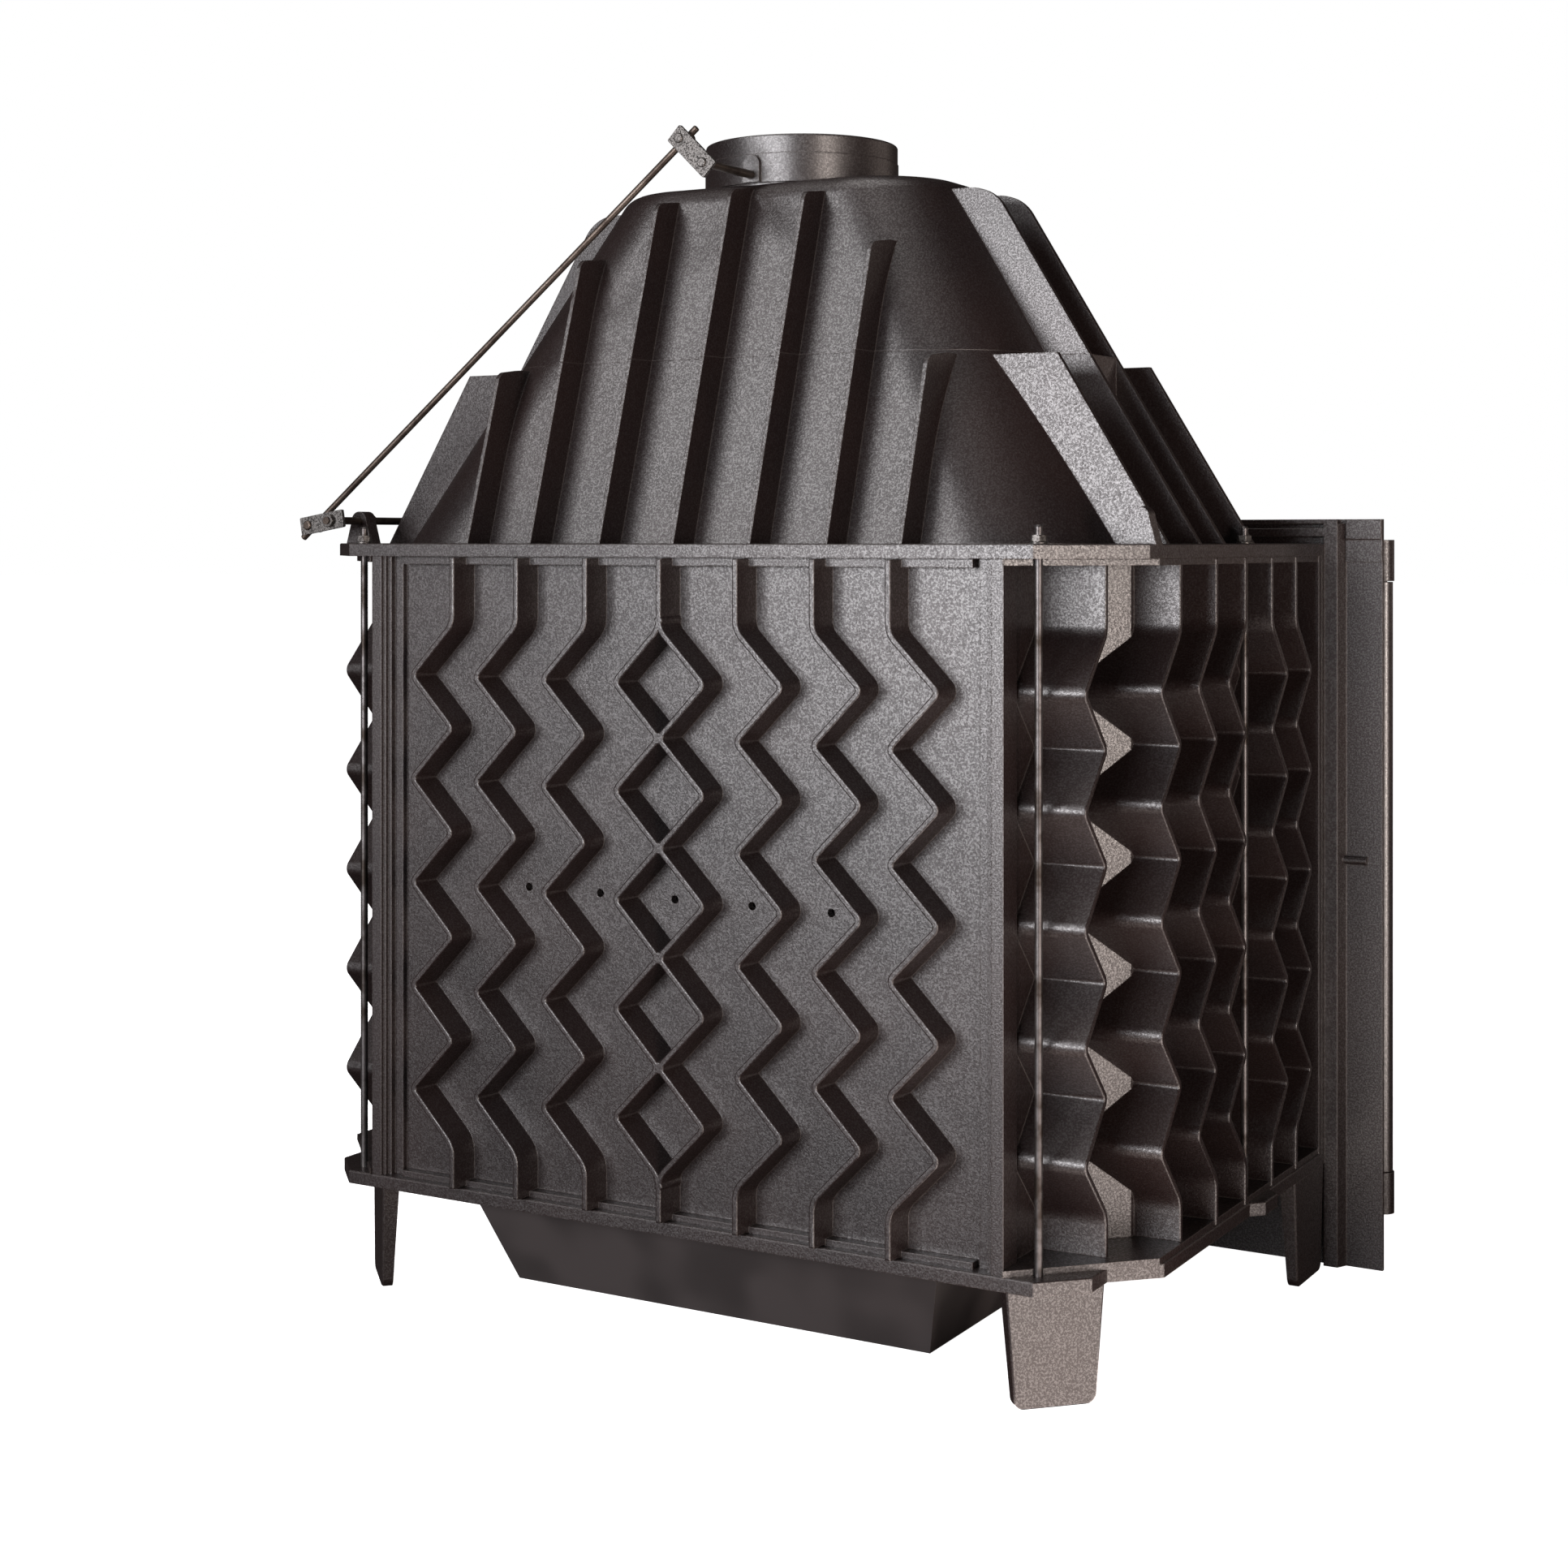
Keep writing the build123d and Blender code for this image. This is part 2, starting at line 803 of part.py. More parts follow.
def hood_fins(base, top):
    """The fins of one hood casting, on both sides."""
    fins = []
    for side in (-1, 1):
        tall = flue_depth + side * tall_fin_offset
        ends_here = base > 0
        drop = tall_fin_drop if ends_here else 0
        corner = tall_fin_corner if ends_here else 0
        fins.extend(both_sides(fin(tall, base, top, drop, corner)))
        if base == 0:
            short = flue_depth + side * short_fin_offset
            fins.extend(both_sides(fin(short, base, top, hood_low_rib_drop, 0)))
    return fins


def hood_lower():
    base, top = 0, hood_split_height
    hood = hood_shell(top_face, hood_split, 0)
    for solid in hood_ribs(base, top) + hood_fins(base, top):
        hood += solid
    near_side, far_side = flue_depth - tall_fin_offset, flue_depth + tall_fin_offset
    low = hood_split - clamp_block_height
    clamp_block = block(0, clamp_block_reach, near_side, far_side, low, hood_split)
    for solid in both_sides(clamp_block):
        hood += solid
    return hood - hood_shell(top_face - 1, hood_split + 1, hood_wall)


def hood_upper():
    base, top = hood_split_height, hood_height
    hood = hood_shell(hood_split, hood_top, 0)
    hood = fillet(hood.faces().sort_by(Axis.Z)[-1].edges(), hood_shoulder)
    for solid in hood_ribs(base, top) + hood_fins(base, top):
        hood += solid
    hood -= hood_shell(hood_split - 1, hood_top - 1.5 * hood_wall, hood_wall)
    hole = bore_radius + roof_hole_extra
    return hood - upright(hole, 0, flue_depth, hood_top - 3 * hood_wall, hood_top + 1)


# Flue collar with its arch bosses
def flue_collar():
    collar = upright(flue_radius, 0, flue_depth, hood_top, collar_top)
    collar = fillet(collar.faces().sort_by(Axis.Z)[-1].edges(), 2.0)
    foot = hood_top + collar_foot_height
    collar += upright(flue_radius + collar_foot_proud, 0, flue_depth, hood_top, foot)
    lip = bore_radius + roof_hole_extra - collar_fit
    collar += upright(lip, 0, flue_depth, hood_top - collar_lip, hood_top + 1)
    crown = hood_top + arch_height - arch_half_width
    for side in (-1, 1):
        d0 = flue_depth + side * (flue_radius - collar_wall)
        d1 = flue_depth + side * (flue_radius + arch_proud)
        low, high = min(d0, d1), max(d0, d1)
        collar += block(-arch_half_width, arch_half_width, low, high, hood_top, crown)
        collar += lengthwise(arch_half_width, 0, crown, low, high)
    collar -= upright(bore_radius, 0, flue_depth, hood_top - collar_lip - 1, collar_top + 1)
    bore = damper_shaft_radius + running_clearance
    reach = flue_radius + arch_proud + 1
    return collar - lengthwise(bore, 0, damper_z, flue_depth - reach, flue_depth + reach)


# Tie rods, nuts and washers
def tie_rods():
    rods = []
    for x, depth in tie_rod_places:
        low, high = leg_height - tie_rod_stub, top_face + tie_rod_stud
        rod = upright(tie_rod_radius, x, depth, low, high)
        rod = chamfer(rod.edges().filter_by(GeomType.CIRCLE), rod_end_chamfer)
        rods.extend(both_sides(rod))
    return rods


def hex_nut(x, depth, z, flats, height, hole):
    """A hexagon nut standing on a height."""
    across = flats / math.sqrt(3)
    nut = extrude(Pos(x, at(depth), z) * RegularPolygon(across, 6), height)
    crown = Pos(x, at(depth), z + height / 2) * Cylinder(across * nut_crown_share, height)
    crown = chamfer(crown.edges().filter_by(GeomType.CIRCLE), nut_chamfer)
    return (nut & crown) - upright(hole, x, depth, z - 1, z + height + 1)


def tie_rod_nuts():
    nuts = []
    for x, depth in tie_rod_places:
        z = top_face + washer_thickness
        nut = hex_nut(x, depth, z, nut_flats, nut_height, tie_rod_radius + thread_clearance)
        nuts.extend(both_sides(nut))
    return nuts


def tie_rod_washers():
    washers = []
    for x, depth in tie_rod_places:
        washer = upright(washer_radius, x, depth, top_face, top_face + washer_thickness)
        hole = tie_rod_radius + tie_rod_hole_clearance
        washer -= upright(hole, x, depth, top_face - 1, top_face + 3)
        washers.extend(both_sides(washer))
    return washers


# Legs: a tapered plate with a bolting pad behind its top
def leg_places():
    """Where the four legs stand and which way each outer face looks."""
    rear_x = (rear_leg_along + back_half - rear_leg_inset) / 2
    rear_d = (rear_leg_along - back_half + rear_leg_inset) / 2
    return {
        "leg_rear_left": (-rear_x, rear_d, 135),
        "leg_rear_right": (rear_x, rear_d, 45),
        "leg_front_left": (-half_width, front_leg_depth, 180),
        "leg_front_right": (half_width, front_leg_depth, 0),
    }


def leg_bolt_places():
    """The two bolts through each leg's pad."""
    places = []
    for x, depth, turn in leg_places().values():
        out = (math.cos(math.radians(turn)), math.sin(math.radians(turn)))
        centre = leg_top_thickness + (leg_pad - leg_top_thickness) / 2
        for across in (-leg_bolt_spread, leg_bolt_spread):
            px = x - out[0] * centre - out[1] * across
            py = at(depth) - out[1] * centre + out[0] * across
            places.append((px, back_y - py))
    return places


def leg(x, depth, turn):
    """A leg whose outer face passes through a place and looks along a bearing."""
    top, foot = leg_top_width / 2, leg_bottom_width / 2
    corners = ((-top, leg_height), (top, leg_height), (foot, 0), (-foot, 0))
    face = make_face(Polyline(*corners, close=True))
    face = fillet(face.vertices().group_by(Axis.Y)[0], leg_corner)
    upright_plane = Plane(origin=(0, 0, 0), x_dir=(0, 1, 0), z_dir=(1, 0, 0))
    plate = extrude(upright_plane * face, -leg_top_thickness)
    wedge = Polyline(
        (-leg_top_thickness - 1, 0, leg_height),
        (-leg_top_thickness, 0, leg_height),
        (-leg_bottom_thickness, 0, 0),
        (-leg_bottom_thickness, 0, -1),
        (-leg_top_thickness - 1, 0, -1),
        close=True,
    )
    plate -= extrude(make_face(wedge), top + 5, both=True)
    rim = plate.faces().filter_by(Axis.X).sort_by(Axis.X)[-1].outer_wire().edges()
    low_rim = [e for e in rim if e.center().Z < leg_height - 1]
    plate = chamfer(low_rim, leg_rim)
    pad = Box(leg_pad - 2, leg_top_width - 2 * leg_pad_inset, leg_pad_thickness)
    plate += Pos(-leg_pad / 2 - 1, 0, leg_height - leg_pad_thickness / 2) * pad
    centre = -leg_top_thickness - (leg_pad - leg_top_thickness) / 2
    for across in (-leg_bolt_spread, leg_bolt_spread):
        hole = Cylinder(leg_bolt_radius + tie_rod_hole_clearance, 3 * leg_pad_thickness)
        plate -= Pos(centre, across, leg_height) * hole
    return Pos(x, at(depth), 0) * Rot(0, 0, turn) * plate


def leg_bolts():
    bolts = []
    low = leg_height - leg_pad_thickness
    for x, depth in leg_bolt_places():
        shank = upright(leg_bolt_radius, x, depth, low - 1, bottom_top - 2)
        head = hex_nut(x, depth, low - nut_height, nut_flats, nut_height, 1)
        core = upright(leg_bolt_radius, x, depth, low - nut_height + 1, low)
        bolts.append(shank + head + core)
    return bolts


# Ash hopper under the bottom plate
def hopper(inset):
    """The hopper's body, drawn in by a wall thickness."""
    front = frame_face - apron_thickness - fit_gap
    sections = []
    top = (ash_top_half - inset, ash_top_rear + inset, leg_height)
    foot = (ash_bottom_half - inset, ash_bottom_rear + inset, ash_bottom + inset)
    for half, rear, z in (top, foot):
        middle = (rear + front - inset) / 2
        sections.append(Pos(0, at(middle), z) * Rectangle(2 * half, front - inset - rear))
    return loft(sections, ruled=True)


def ash_box():
    box_shape = hopper(0) - hopper(ash_wall)
    front = frame_face - apron_thickness - fit_gap
    low = ash_bottom + ash_wall
    high = low + drawer_height + 2 * drawer_play
    half = drawer_half + drawer_play
    return box_shape - block(-half, half, front - 2 * ash_wall, front + 1, low, high)


# Grate and linings
def grate():
    half_x, half_d = grate_half_width - grate_play, grate_half_depth - grate_play
    low = bottom_top - grate_thickness - grate_play
    near_side, far_side = grate_depth - half_d, grate_depth + half_d
    plate = block(-half_x, half_x, near_side, far_side, low, low + grate_thickness)
    step = grate_slot + grate_bar
    count = int((2 * (half_x - 2 * grate_ledge)) / step)
    length = half_d - 2 * grate_ledge
    for i in range(count):
        x = (i - (count - 1) / 2) * step
        plate -= block(
            x - grate_slot / 2, x + grate_slot / 2,
            grate_depth - length, grate_depth + length,
            low - 1, bottom_top + 1,
        )
    return plate


def back_lining():
    half = side_rear_half - side_wall - 6 * lining_gap
    near_side = field_depth + field_thickness + lining_gap
    far_side = near_side + lining_thickness
    high = bottom_top + lining_height
    lining = block(-half, half, near_side, far_side, bottom_top, high)
    count = int(2 * half / groove_pitch)
    for i in range(count):
        x = (i - (count - 1) / 2) * groove_pitch
        lining -= upright(groove_radius, x, far_side, bottom_top + groove_start, high + 1)
    return lining


def side_lining():
    outer = side_half - side_wall - lining_gap
    inner = outer - lining_thickness
    near_side = facet_end + 2 * lining_thickness
    far_side = log_guard_depth - 2 * lining_gap
    high = bottom_top + lining_height
    lining = block(inner, outer, near_side, far_side, bottom_top, high)
    count = int((far_side - near_side) / groove_pitch)
    middle = (near_side + far_side) / 2
    for i in range(count):
        depth = middle + (i - (count - 1) / 2) * groove_pitch
        lining -= upright(groove_radius, inner, depth, bottom_top + groove_start, high + 1)
    return lining


def baffle():
    half = side_half - side_wall - lining_gap
    near_side = field_depth + field_thickness + lining_gap
    wide = facet_end + 2 * lining_thickness
    narrow = side_rear_half - side_wall - lining_gap
    right = [
        (narrow, near_side),
        (narrow, facet_start),
        (half, wide),
        (half, baffle_reach),
    ]
    low = bottom_top + lining_height
    return plan(half_outline(right), low, low + baffle_thickness)


def log_guard():
    half = side_half - side_wall - lining_gap
    low, high = bottom_top, bottom_top + log_guard_height
    near_side, far_side = log_guard_depth, log_guard_depth + log_guard_thickness
    guard = block(-half, half, near_side, far_side, low, high)
    step = log_guard_height
    count = int(2 * half / step) - 1
    for i in range(count):
        x = (i - (count - 1) / 2) * step
        slot_low, slot_high = low + log_guard_sill, high - log_guard_bar
        guard -= block(x - step / 4, x + step / 4, near_side - 1, far_side + 1, slot_low, slot_high)
    return guard


# Front frame: the flange plate round the fire opening, its bars, header and apron

def frame_screw_heights():
    """Heights of the screws that hold the frame to the side panels."""
    span = fire_top - fire_bottom
    return [fire_bottom + span * share for share in frame_screw_shares]


def knuckle_spans():
    """The heights of the two hinge lugs."""
    low = door_bottom + door_bevel - knuckle_drop
    return [(door_top - knuckle_height, door_top), (low, low + knuckle_height)]


def front_frame():
    plate_back = frame_face - flange_plate
    frame = block(-frame_half, frame_half, plate_back, frame_face, frame_bottom, frame_top)
    back = plate_depth + frame_back_gap
    frame += block(-half_width, half_width, back, plate_back + 1, leg_height, top_face - 1)
    rear_bar = [
        (half_width - 1, bar_depth),
        (bar_outer, bar_depth),
        (step_outer - step_draft, plate_back - 1),
        (step_outer, plate_back + 1),
        (half_width - 1, plate_back + 1),
    ]
    for solid in both_sides(plan(rear_bar, frame_bottom, frame_top - header_lip)):
        frame += solid
    frame += block(-bar_outer, bar_outer, bar_depth, plate_back + 1, frame_top - header_lip, frame_top)
    low, high = top_face + header_bar_low, top_face + header_bar_high
    frame += block(-bar_inner, bar_inner, bar_depth, plate_back + 1, low, high)
    apron_back = frame_face - apron_thickness
    frame += block(-bar_inner, bar_inner, apron_back, plate_back + 1, frame_bottom, leg_height + 1)
    for side in (-1, 1):
        inner, outer = side * (step_outer - 1), side * frame_half
        corner = block(inner, outer, plate_back - corner_block, plate_back + 1, door_top, frame_top)
        frame += chamfer(corner.faces().sort_by(Axis.Y)[-1].edges(), corner_chamfer)
        low = door_top - hinge_block_height
        frame += block(inner, outer, plate_back - hinge_block, plate_back + 1, low, door_top + 1)
        pin_z = leg_height + location_pin_up
        pin_x = (side * (step_outer - location_pin_sunk), side * (frame_half - location_pin_short))
        frame += crosswise(location_pin_radius, plate_back - 1, pin_z, *pin_x)
    opening = fire_half_width
    frame -= block(-opening, opening, back - 1, frame_face + 1, fire_bottom, fire_top)
    for low, high in knuckle_spans():
        frame += upright(knuckle_radius, -hinge_reach, hinge_axis_depth, low, high)
        left, right = -frame_half, -hinge_reach + hinge_web_half
        frame += block(left, right, plate_back + 1, hinge_axis_depth, low, high)
        bore = hinge_pin_radius + running_clearance
        frame -= upright(bore, -hinge_reach, hinge_axis_depth, low - 1, high + 1)
    for x in (-frame_screw_x, frame_screw_x):
        for z in frame_screw_heights():
            bore = frame_screw_radius + thread_clearance
            frame -= lengthwise(bore, x, z, back - 1, frame_face + 1)
            bore = frame_screw_head + fit_gap
            frame -= lengthwise(bore, x, z, frame_face - flange_plate, frame_face + 1)
    frame -= keeper_pocket()
    notch = control_shaft_radius + running_clearance
    frame -= lengthwise(notch, lug_x, shaft_z, bar_depth - 1, frame_face + 1)
    frame -= block(lug_x - notch, lug_x + notch, bar_depth - 1, frame_face + 1, shaft_z, frame_top + 1)
    half = drawer_half + drawer_play
    low = ash_bottom + ash_wall
    high = low + drawer_height + 2 * drawer_play
    frame -= block(-half, half, apron_back - 1, frame_face + 1, low, high)
    frame -= air_slots()
    for x in slider_screw_places():
        bore = slider_screw_radius + thread_clearance
        frame -= lengthwise(bore, x, air_slot_z, apron_back - 1, frame_face + 1)
    return frame


def keeper_pocket():
    """The pocket behind the frame's edge that the latch cam turns into."""
    out = fire_half_width + pocket_depth_to
    low, high = handle_z - cam_reach - pocket_below, handle_z + cam_radius + pocket_above
    back = plate_depth + frame_back_gap
    return block(fire_half_width - 1, out, back - 1, frame_face - keeper_wall, low, high)


def frame_screws():
    screws = []
    for z in frame_screw_heights():
        tip = flange_front - front_flange_thickness + frame_screw_web + fit_gap
        seat, top = frame_face - flange_plate, frame_face - frame_screw_sink
        shank = lengthwise(frame_screw_radius, frame_screw_x, z, tip, seat + 1)
        head = lengthwise(frame_screw_head, frame_screw_x, z, seat, top)
        hexagon = Rot(90, 0, 0) * RegularPolygon(frame_screw_socket, 6)
        socket = Pos(frame_screw_x, at(top), z) * hexagon
        screw = shank + head - extrude(socket, frame_screw_socket, dir=(0, 1, 0))
        screws.extend(both_sides(screw))
    return screws


# Air control on the apron
def air_slots():
    """The two air slots through the apron."""
    slots = []
    d0, d1 = frame_face - apron_thickness - 1, frame_face + slider_thickness + 1
    low, high = air_slot_z - air_slot_height / 2, air_slot_z + air_slot_height / 2
    for side in (-1, 1):
        x = air_slot_x + side * air_slot_pitch / 2
        slots.append(block(x - air_slot_width / 2, x + air_slot_width / 2, d0, d1, low, high))
    return slots[0] + slots[1]


def slider_screw_places():
    """The two shoulder screws that the air slider runs on."""
    reach = air_slot_pitch + slider_screw_radius + air_slot_margin
    return (air_slot_x - reach, air_slot_x + reach)


def air_slider():
    near_side = frame_face + fit_gap
    far_side = near_side + slider_thickness
    low, high = air_slot_z - slider_height / 2, air_slot_z + slider_height / 2
    screw_reach = slider_screw_places()[1] - air_slot_x
    left = air_slot_x - screw_reach - slider_travel - 3 * slider_screw_radius
    right = air_slot_x + screw_reach + 3 * slider_screw_radius
    plate = block(left, right, near_side, far_side, low, high)
    plate -= Pos(-slider_travel, 0, 0) * air_slots()
    half = slider_screw_radius + slider_slot_clearance
    for x in slider_screw_places():
        low, high = air_slot_z - half, air_slot_z + half
        slot = block(x - slider_travel, x, near_side - 1, far_side + 1, low, high)
        slot += lengthwise(half, x, air_slot_z, near_side - 1, far_side + 1)
        slot += lengthwise(half, x - slider_travel, air_slot_z, near_side - 1, far_side + 1)
        plate -= slot
    return plate


def air_slider_screws():
    screws = []
    for x in slider_screw_places():
        head = frame_face + fit_gap + slider_thickness + fit_gap
        screw = lengthwise(slider_screw_radius, x, air_slot_z, frame_face - apron_thickness, head + 1)
        screw += lengthwise(2 * slider_screw_radius, x, air_slot_z, head, head + 3)
        screws.append(screw)
    return screws


def round_knob(x, z, near_side, radius):
    """A round pull on a stem, its length set by its radius."""
    stem_end, grip_end = near_side + radius, near_side + 2.3 * radius
    grip = lengthwise(radius, x, z, stem_end - 1, grip_end)
    grip = fillet(grip.edges().filter_by(GeomType.CIRCLE), radius / 4)
    return grip + lengthwise(radius / 2, x, z, near_side, stem_end)


def air_slider_knob():
    near_side = frame_face + fit_gap + slider_thickness
    return round_knob(air_slot_x - slider_travel, air_slot_z, near_side, air_knob_radius)


# Ash drawer
def ash_pan():
    low = ash_bottom + ash_wall + fit_gap
    high = low + drawer_height
    front = frame_face + fit_gap
    pan = block(-drawer_half, drawer_half, drawer_rear, front, low, high)
    w = drawer_wall
    return pan - block(-drawer_half + w, drawer_half - w, drawer_rear + w, front - w, low + w, high + 1)


def ash_pan_front():
    half = drawer_half + drawer_front_extra
    near_side = frame_face + fit_gap
    far_side = near_side + drawer_front_thickness
    plate = block(-half, half, near_side, far_side, drawer_front_bottom, drawer_front_top)
    return chamfer(plate.faces().sort_by(Axis.Y)[0].edges(), drawer_rim)


def ash_pan_knob():
    near_side = frame_face + fit_gap + drawer_front_thickness
    z = (drawer_front_bottom + drawer_front_top) / 2
    return round_knob(0, z, near_side, drawer_knob_radius)


# Door
def door_frame():
    side = [
        (door_rear, door_bottom),
        (door_rear, door_top),
        (door_front, door_top),
        (door_front, door_bottom + door_bevel),
    ]
    door = side_profile(side, -hinge_reach, door_free_edge)
    front_edges = door.faces().sort_by(Axis.Y)[0].edges()
    outer = [e for e in front_edges if e.center().X > -hinge_reach + 1]
    door = chamfer(outer, door_edge)
    low = door_bottom + door_bevel
    door += upright(door_thickness / 2, -hinge_reach, hinge_axis_depth, low, door_top)
    window = block(-window_half, window_half, door_rear - 1, door_front + 1, window_bottom, window_top)
    window = fillet(window.edges().filter_by(Axis.Y), window_corner)
    door -= window
    lap = window_half + glass_lap
    seat = door_rear + fit_gap + glass_thickness + seal_thickness
    door -= block(-lap, lap, door_rear - 1, seat, window_bottom - glass_lap, window_top + glass_lap)
    lip, wide = door_front - window_step, window_half + window_step
    low, high = window_bottom - window_step, window_top + window_step
    step = block(-wide, wide, lip, door_front + 1, low, high)
    door -= fillet(step.edges().filter_by(Axis.Y), window_corner + window_step)
    door -= rope_ring(door_rear - 1, door_rear + door_rope_depth, 0)
    for low, high in knuckle_spans():
        z0 = low - knuckle_gap if low > fire_bottom else door_bottom - 1
        z1 = high + knuckle_gap if low < fire_bottom else door_top + 1
        reach = knuckle_radius + 2 * knuckle_gap
        left, right = -hinge_reach - reach, -hinge_reach + reach
        door -= block(left, right, door_rear - 3, door_front + 3, z0, z1)
    for z0, z1 in hinge_pin_spans():
        hole = hinge_pin_radius + thread_clearance
        door -= upright(hole, -hinge_reach, hinge_axis_depth, z0, z1)
    for cutter in clip_screw_holes():
        door -= cutter
    bore = spindle_radius + running_clearance
    return door - lengthwise(bore, handle_x, handle_z, door_rear - 1, door_front + 1)


def rope_ring(d0, d1, clearance):
    """The rectangular run of the door's rope seal."""
    half = door_rope_half
    low = fire_bottom - door_rope_margin
    high = fire_top + door_rope_over
    w = door_rope_width / 2 - clearance
    ring = block(-half - w, half + w, d0, d1, low - w, high + w)
    ring = fillet(ring.edges().filter_by(Axis.Y), door_rope_corner + w)
    hole = block(-half + w, half - w, d0 - 1, d1 + 1, low + w, high - w)
    return ring - fillet(hole.edges().filter_by(Axis.Y), door_rope_corner - w)


def door_seal():
    near_side, far_side = door_rear - fit_gap, door_rear + door_rope_depth - fit_gap
    return rope_ring(near_side, far_side, door_rope_slack)


def hinge_pin_spans():
    """Heights of the pins: most of each lug, then on into the door."""
    upper, lower = knuckle_spans()
    return (
        (upper[0] - hinge_pin_in_door, upper[1] - hinge_pin_inset),
        (lower[0] + hinge_pin_inset, lower[1] + hinge_pin_in_door),
    )


def hinge_pins():
    pins = []
    for z0, z1 in hinge_pin_spans():
        z0, z1 = z0 + fit_gap, z1 - fit_gap
        pins.append(upright(hinge_pin_radius, -hinge_reach, hinge_axis_depth, z0, z1))
    return pins


def door_glass():
    lap = window_half + glass_lap - fit_gap
    near_side = door_rear + fit_gap
    low, high = window_bottom - glass_lap + fit_gap, window_top + glass_lap - fit_gap
    return block(-lap, lap, near_side, near_side + glass_thickness, low, high)


def glass_seal():
    lap = window_half + glass_lap - fit_gap
    near_side = door_rear + fit_gap + glass_thickness
    far_side = near_side + seal_thickness
    low, high = window_bottom - glass_lap + fit_gap, window_top + glass_lap - fit_gap
    ring = block(-lap, lap, near_side, far_side, low, high)
    inner, low, high = window_half + 2, window_bottom - 2, window_top + 2
    return ring - block(-inner, inner, near_side - 1, far_side + 1, low, high)


def clip_places():
    """Middles of the glass clips along the top and the bottom of the glass."""
    places = []
    for x in (-clip_spread, 0, clip_spread):
        places.append((x, window_bottom - glass_lap, -1))
        places.append((x, window_top + glass_lap, 1))
    return places


def glass_clips():
    clips = []
    for x, edge, way in clip_places():
        z0, z1 = sorted((edge - way * clip_on_glass, edge + way * clip_on_frame))
        back = door_rear - clip_thickness
        clip = block(x - clip_half, x + clip_half, back, door_rear, z0, z1)
        bore = clip_screw_radius + 2 * thread_clearance
        clip -= lengthwise(bore, x, edge + way * clip_screw_out, back - 1, door_rear + 1)
        clips.append(clip)
    return clips


def glass_clip_screws():
    screws = []
    for x, edge, way in clip_places():
        z, seat = edge + way * clip_screw_out, door_rear - clip_thickness
        screw = lengthwise(clip_screw_radius, x, z, seat - 1, door_rear + clip_screw_length)
        screw += lengthwise(2 * clip_screw_radius, x, z, seat - clip_thickness, seat)
        screws.append(screw)
    return screws


def clip_screw_holes():
    holes = []
    for x, edge, way in clip_places():
        bore, far_side = clip_screw_radius + thread_clearance, door_rear + clip_screw_length + 1
        holes.append(lengthwise(bore, x, edge + way * clip_screw_out, door_rear - 1, far_side))
    return holes


# Door latch
def latch_cam():
    """The cam, hanging down at rest and clear of its keeper."""
    far_side = frame_face - keeper_wall - cam_gap
    near_side = far_side - cam_thickness
    cam = lengthwise(cam_radius, handle_x, handle_z, near_side, far_side)
    half = cam_half
    cam += block(handle_x - half, handle_x + half, near_side, far_side, handle_z - cam_reach, handle_z)
    bore = spindle_radius + press_clearance
    return cam - lengthwise(bore, handle_x, handle_z, near_side - 1, far_side + 1)


def handle_spindle():
    back = frame_face - keeper_wall - cam_gap - cam_thickness - spindle_collar
    spindle = lengthwise(spindle_radius, handle_x, handle_z, back, door_front + spindle_end)
    seat = door_front + fit_gap
    spindle += lengthwise(cam_radius, handle_x, handle_z, seat, seat + spindle_collar)
    tail_end = back + spindle_collar - fit_gap
    return spindle + lengthwise(spindle_radius + 2, handle_x, handle_z, back, tail_end)


def handle_lever():
    """The lever, level towards the middle of the door at rest."""
    d0 = door_front + fit_gap + spindle_collar
    arm_depth, d1 = d0 + hub_length * 2 / 3, door_front + handle_standoff
    lever = lengthwise(cam_radius + 2, handle_x, handle_z, d0, d0 + hub_length)
    arm_end = handle_x - lever_offset
    lever += crosswise(lever_radius, arm_depth, handle_z, arm_end, handle_x)
    lever += lengthwise(lever_radius, arm_end, handle_z, arm_depth, d1)
    lever += Pos(arm_end, at(arm_depth), handle_z) * Sphere(lever_radius)
    lever += Pos(arm_end, at(d1), handle_z) * Sphere(lever_radius)
    lever += crosswise(lever_radius, d1, handle_z, handle_x - lever_length, arm_end)
    bore = spindle_radius + press_clearance
    return lever - lengthwise(bore, handle_x, handle_z, d0 - 1, door_front + spindle_end)


def handle_grip():
    d1 = door_front + handle_standoff
    start = handle_x - lever_offset - 2 * lever_radius
    grip = crosswise(grip_radius, d1, handle_z, handle_x - lever_length, start)
    grip = fillet(grip.edges().filter_by(GeomType.CIRCLE), grip_end_round)
    bore = lever_radius + press_clearance
    return grip - crosswise(bore, d1, handle_z, handle_x - lever_length - 1, start + 1)


# Damper drive
def turned(angle, reach):
    """Width and height of a point on a crank."""
    return reach * math.cos(math.radians(angle)), reach * math.sin(math.radians(angle))


def crank(tail, arm, head, width, hub, eye):
    """A flat bar along X from behind its shaft to past its pivot."""
    bar = Pos((arm + head - tail) / 2, 0, 0) * Box(tail + arm + head, crank_thickness, width)
    bar = fillet(bar.edges().filter_by(Axis.Y), crank_corner)
    bar -= Rot(90, 0, 0) * Cylinder(hub, 2 * crank_thickness)
    return bar - Pos(arm, 0, 0) * Rot(90, 0, 0) * Cylinder(eye, 2 * crank_thickness)


def lower_pivot():
    across, up = turned(lower_crank_angle, lower_crank_arm)
    return lug_x + across, shaft_z + up


def upper_pivot():
    across, up = turned(upper_crank_angle, upper_crank_arm)
    return across, damper_z + up


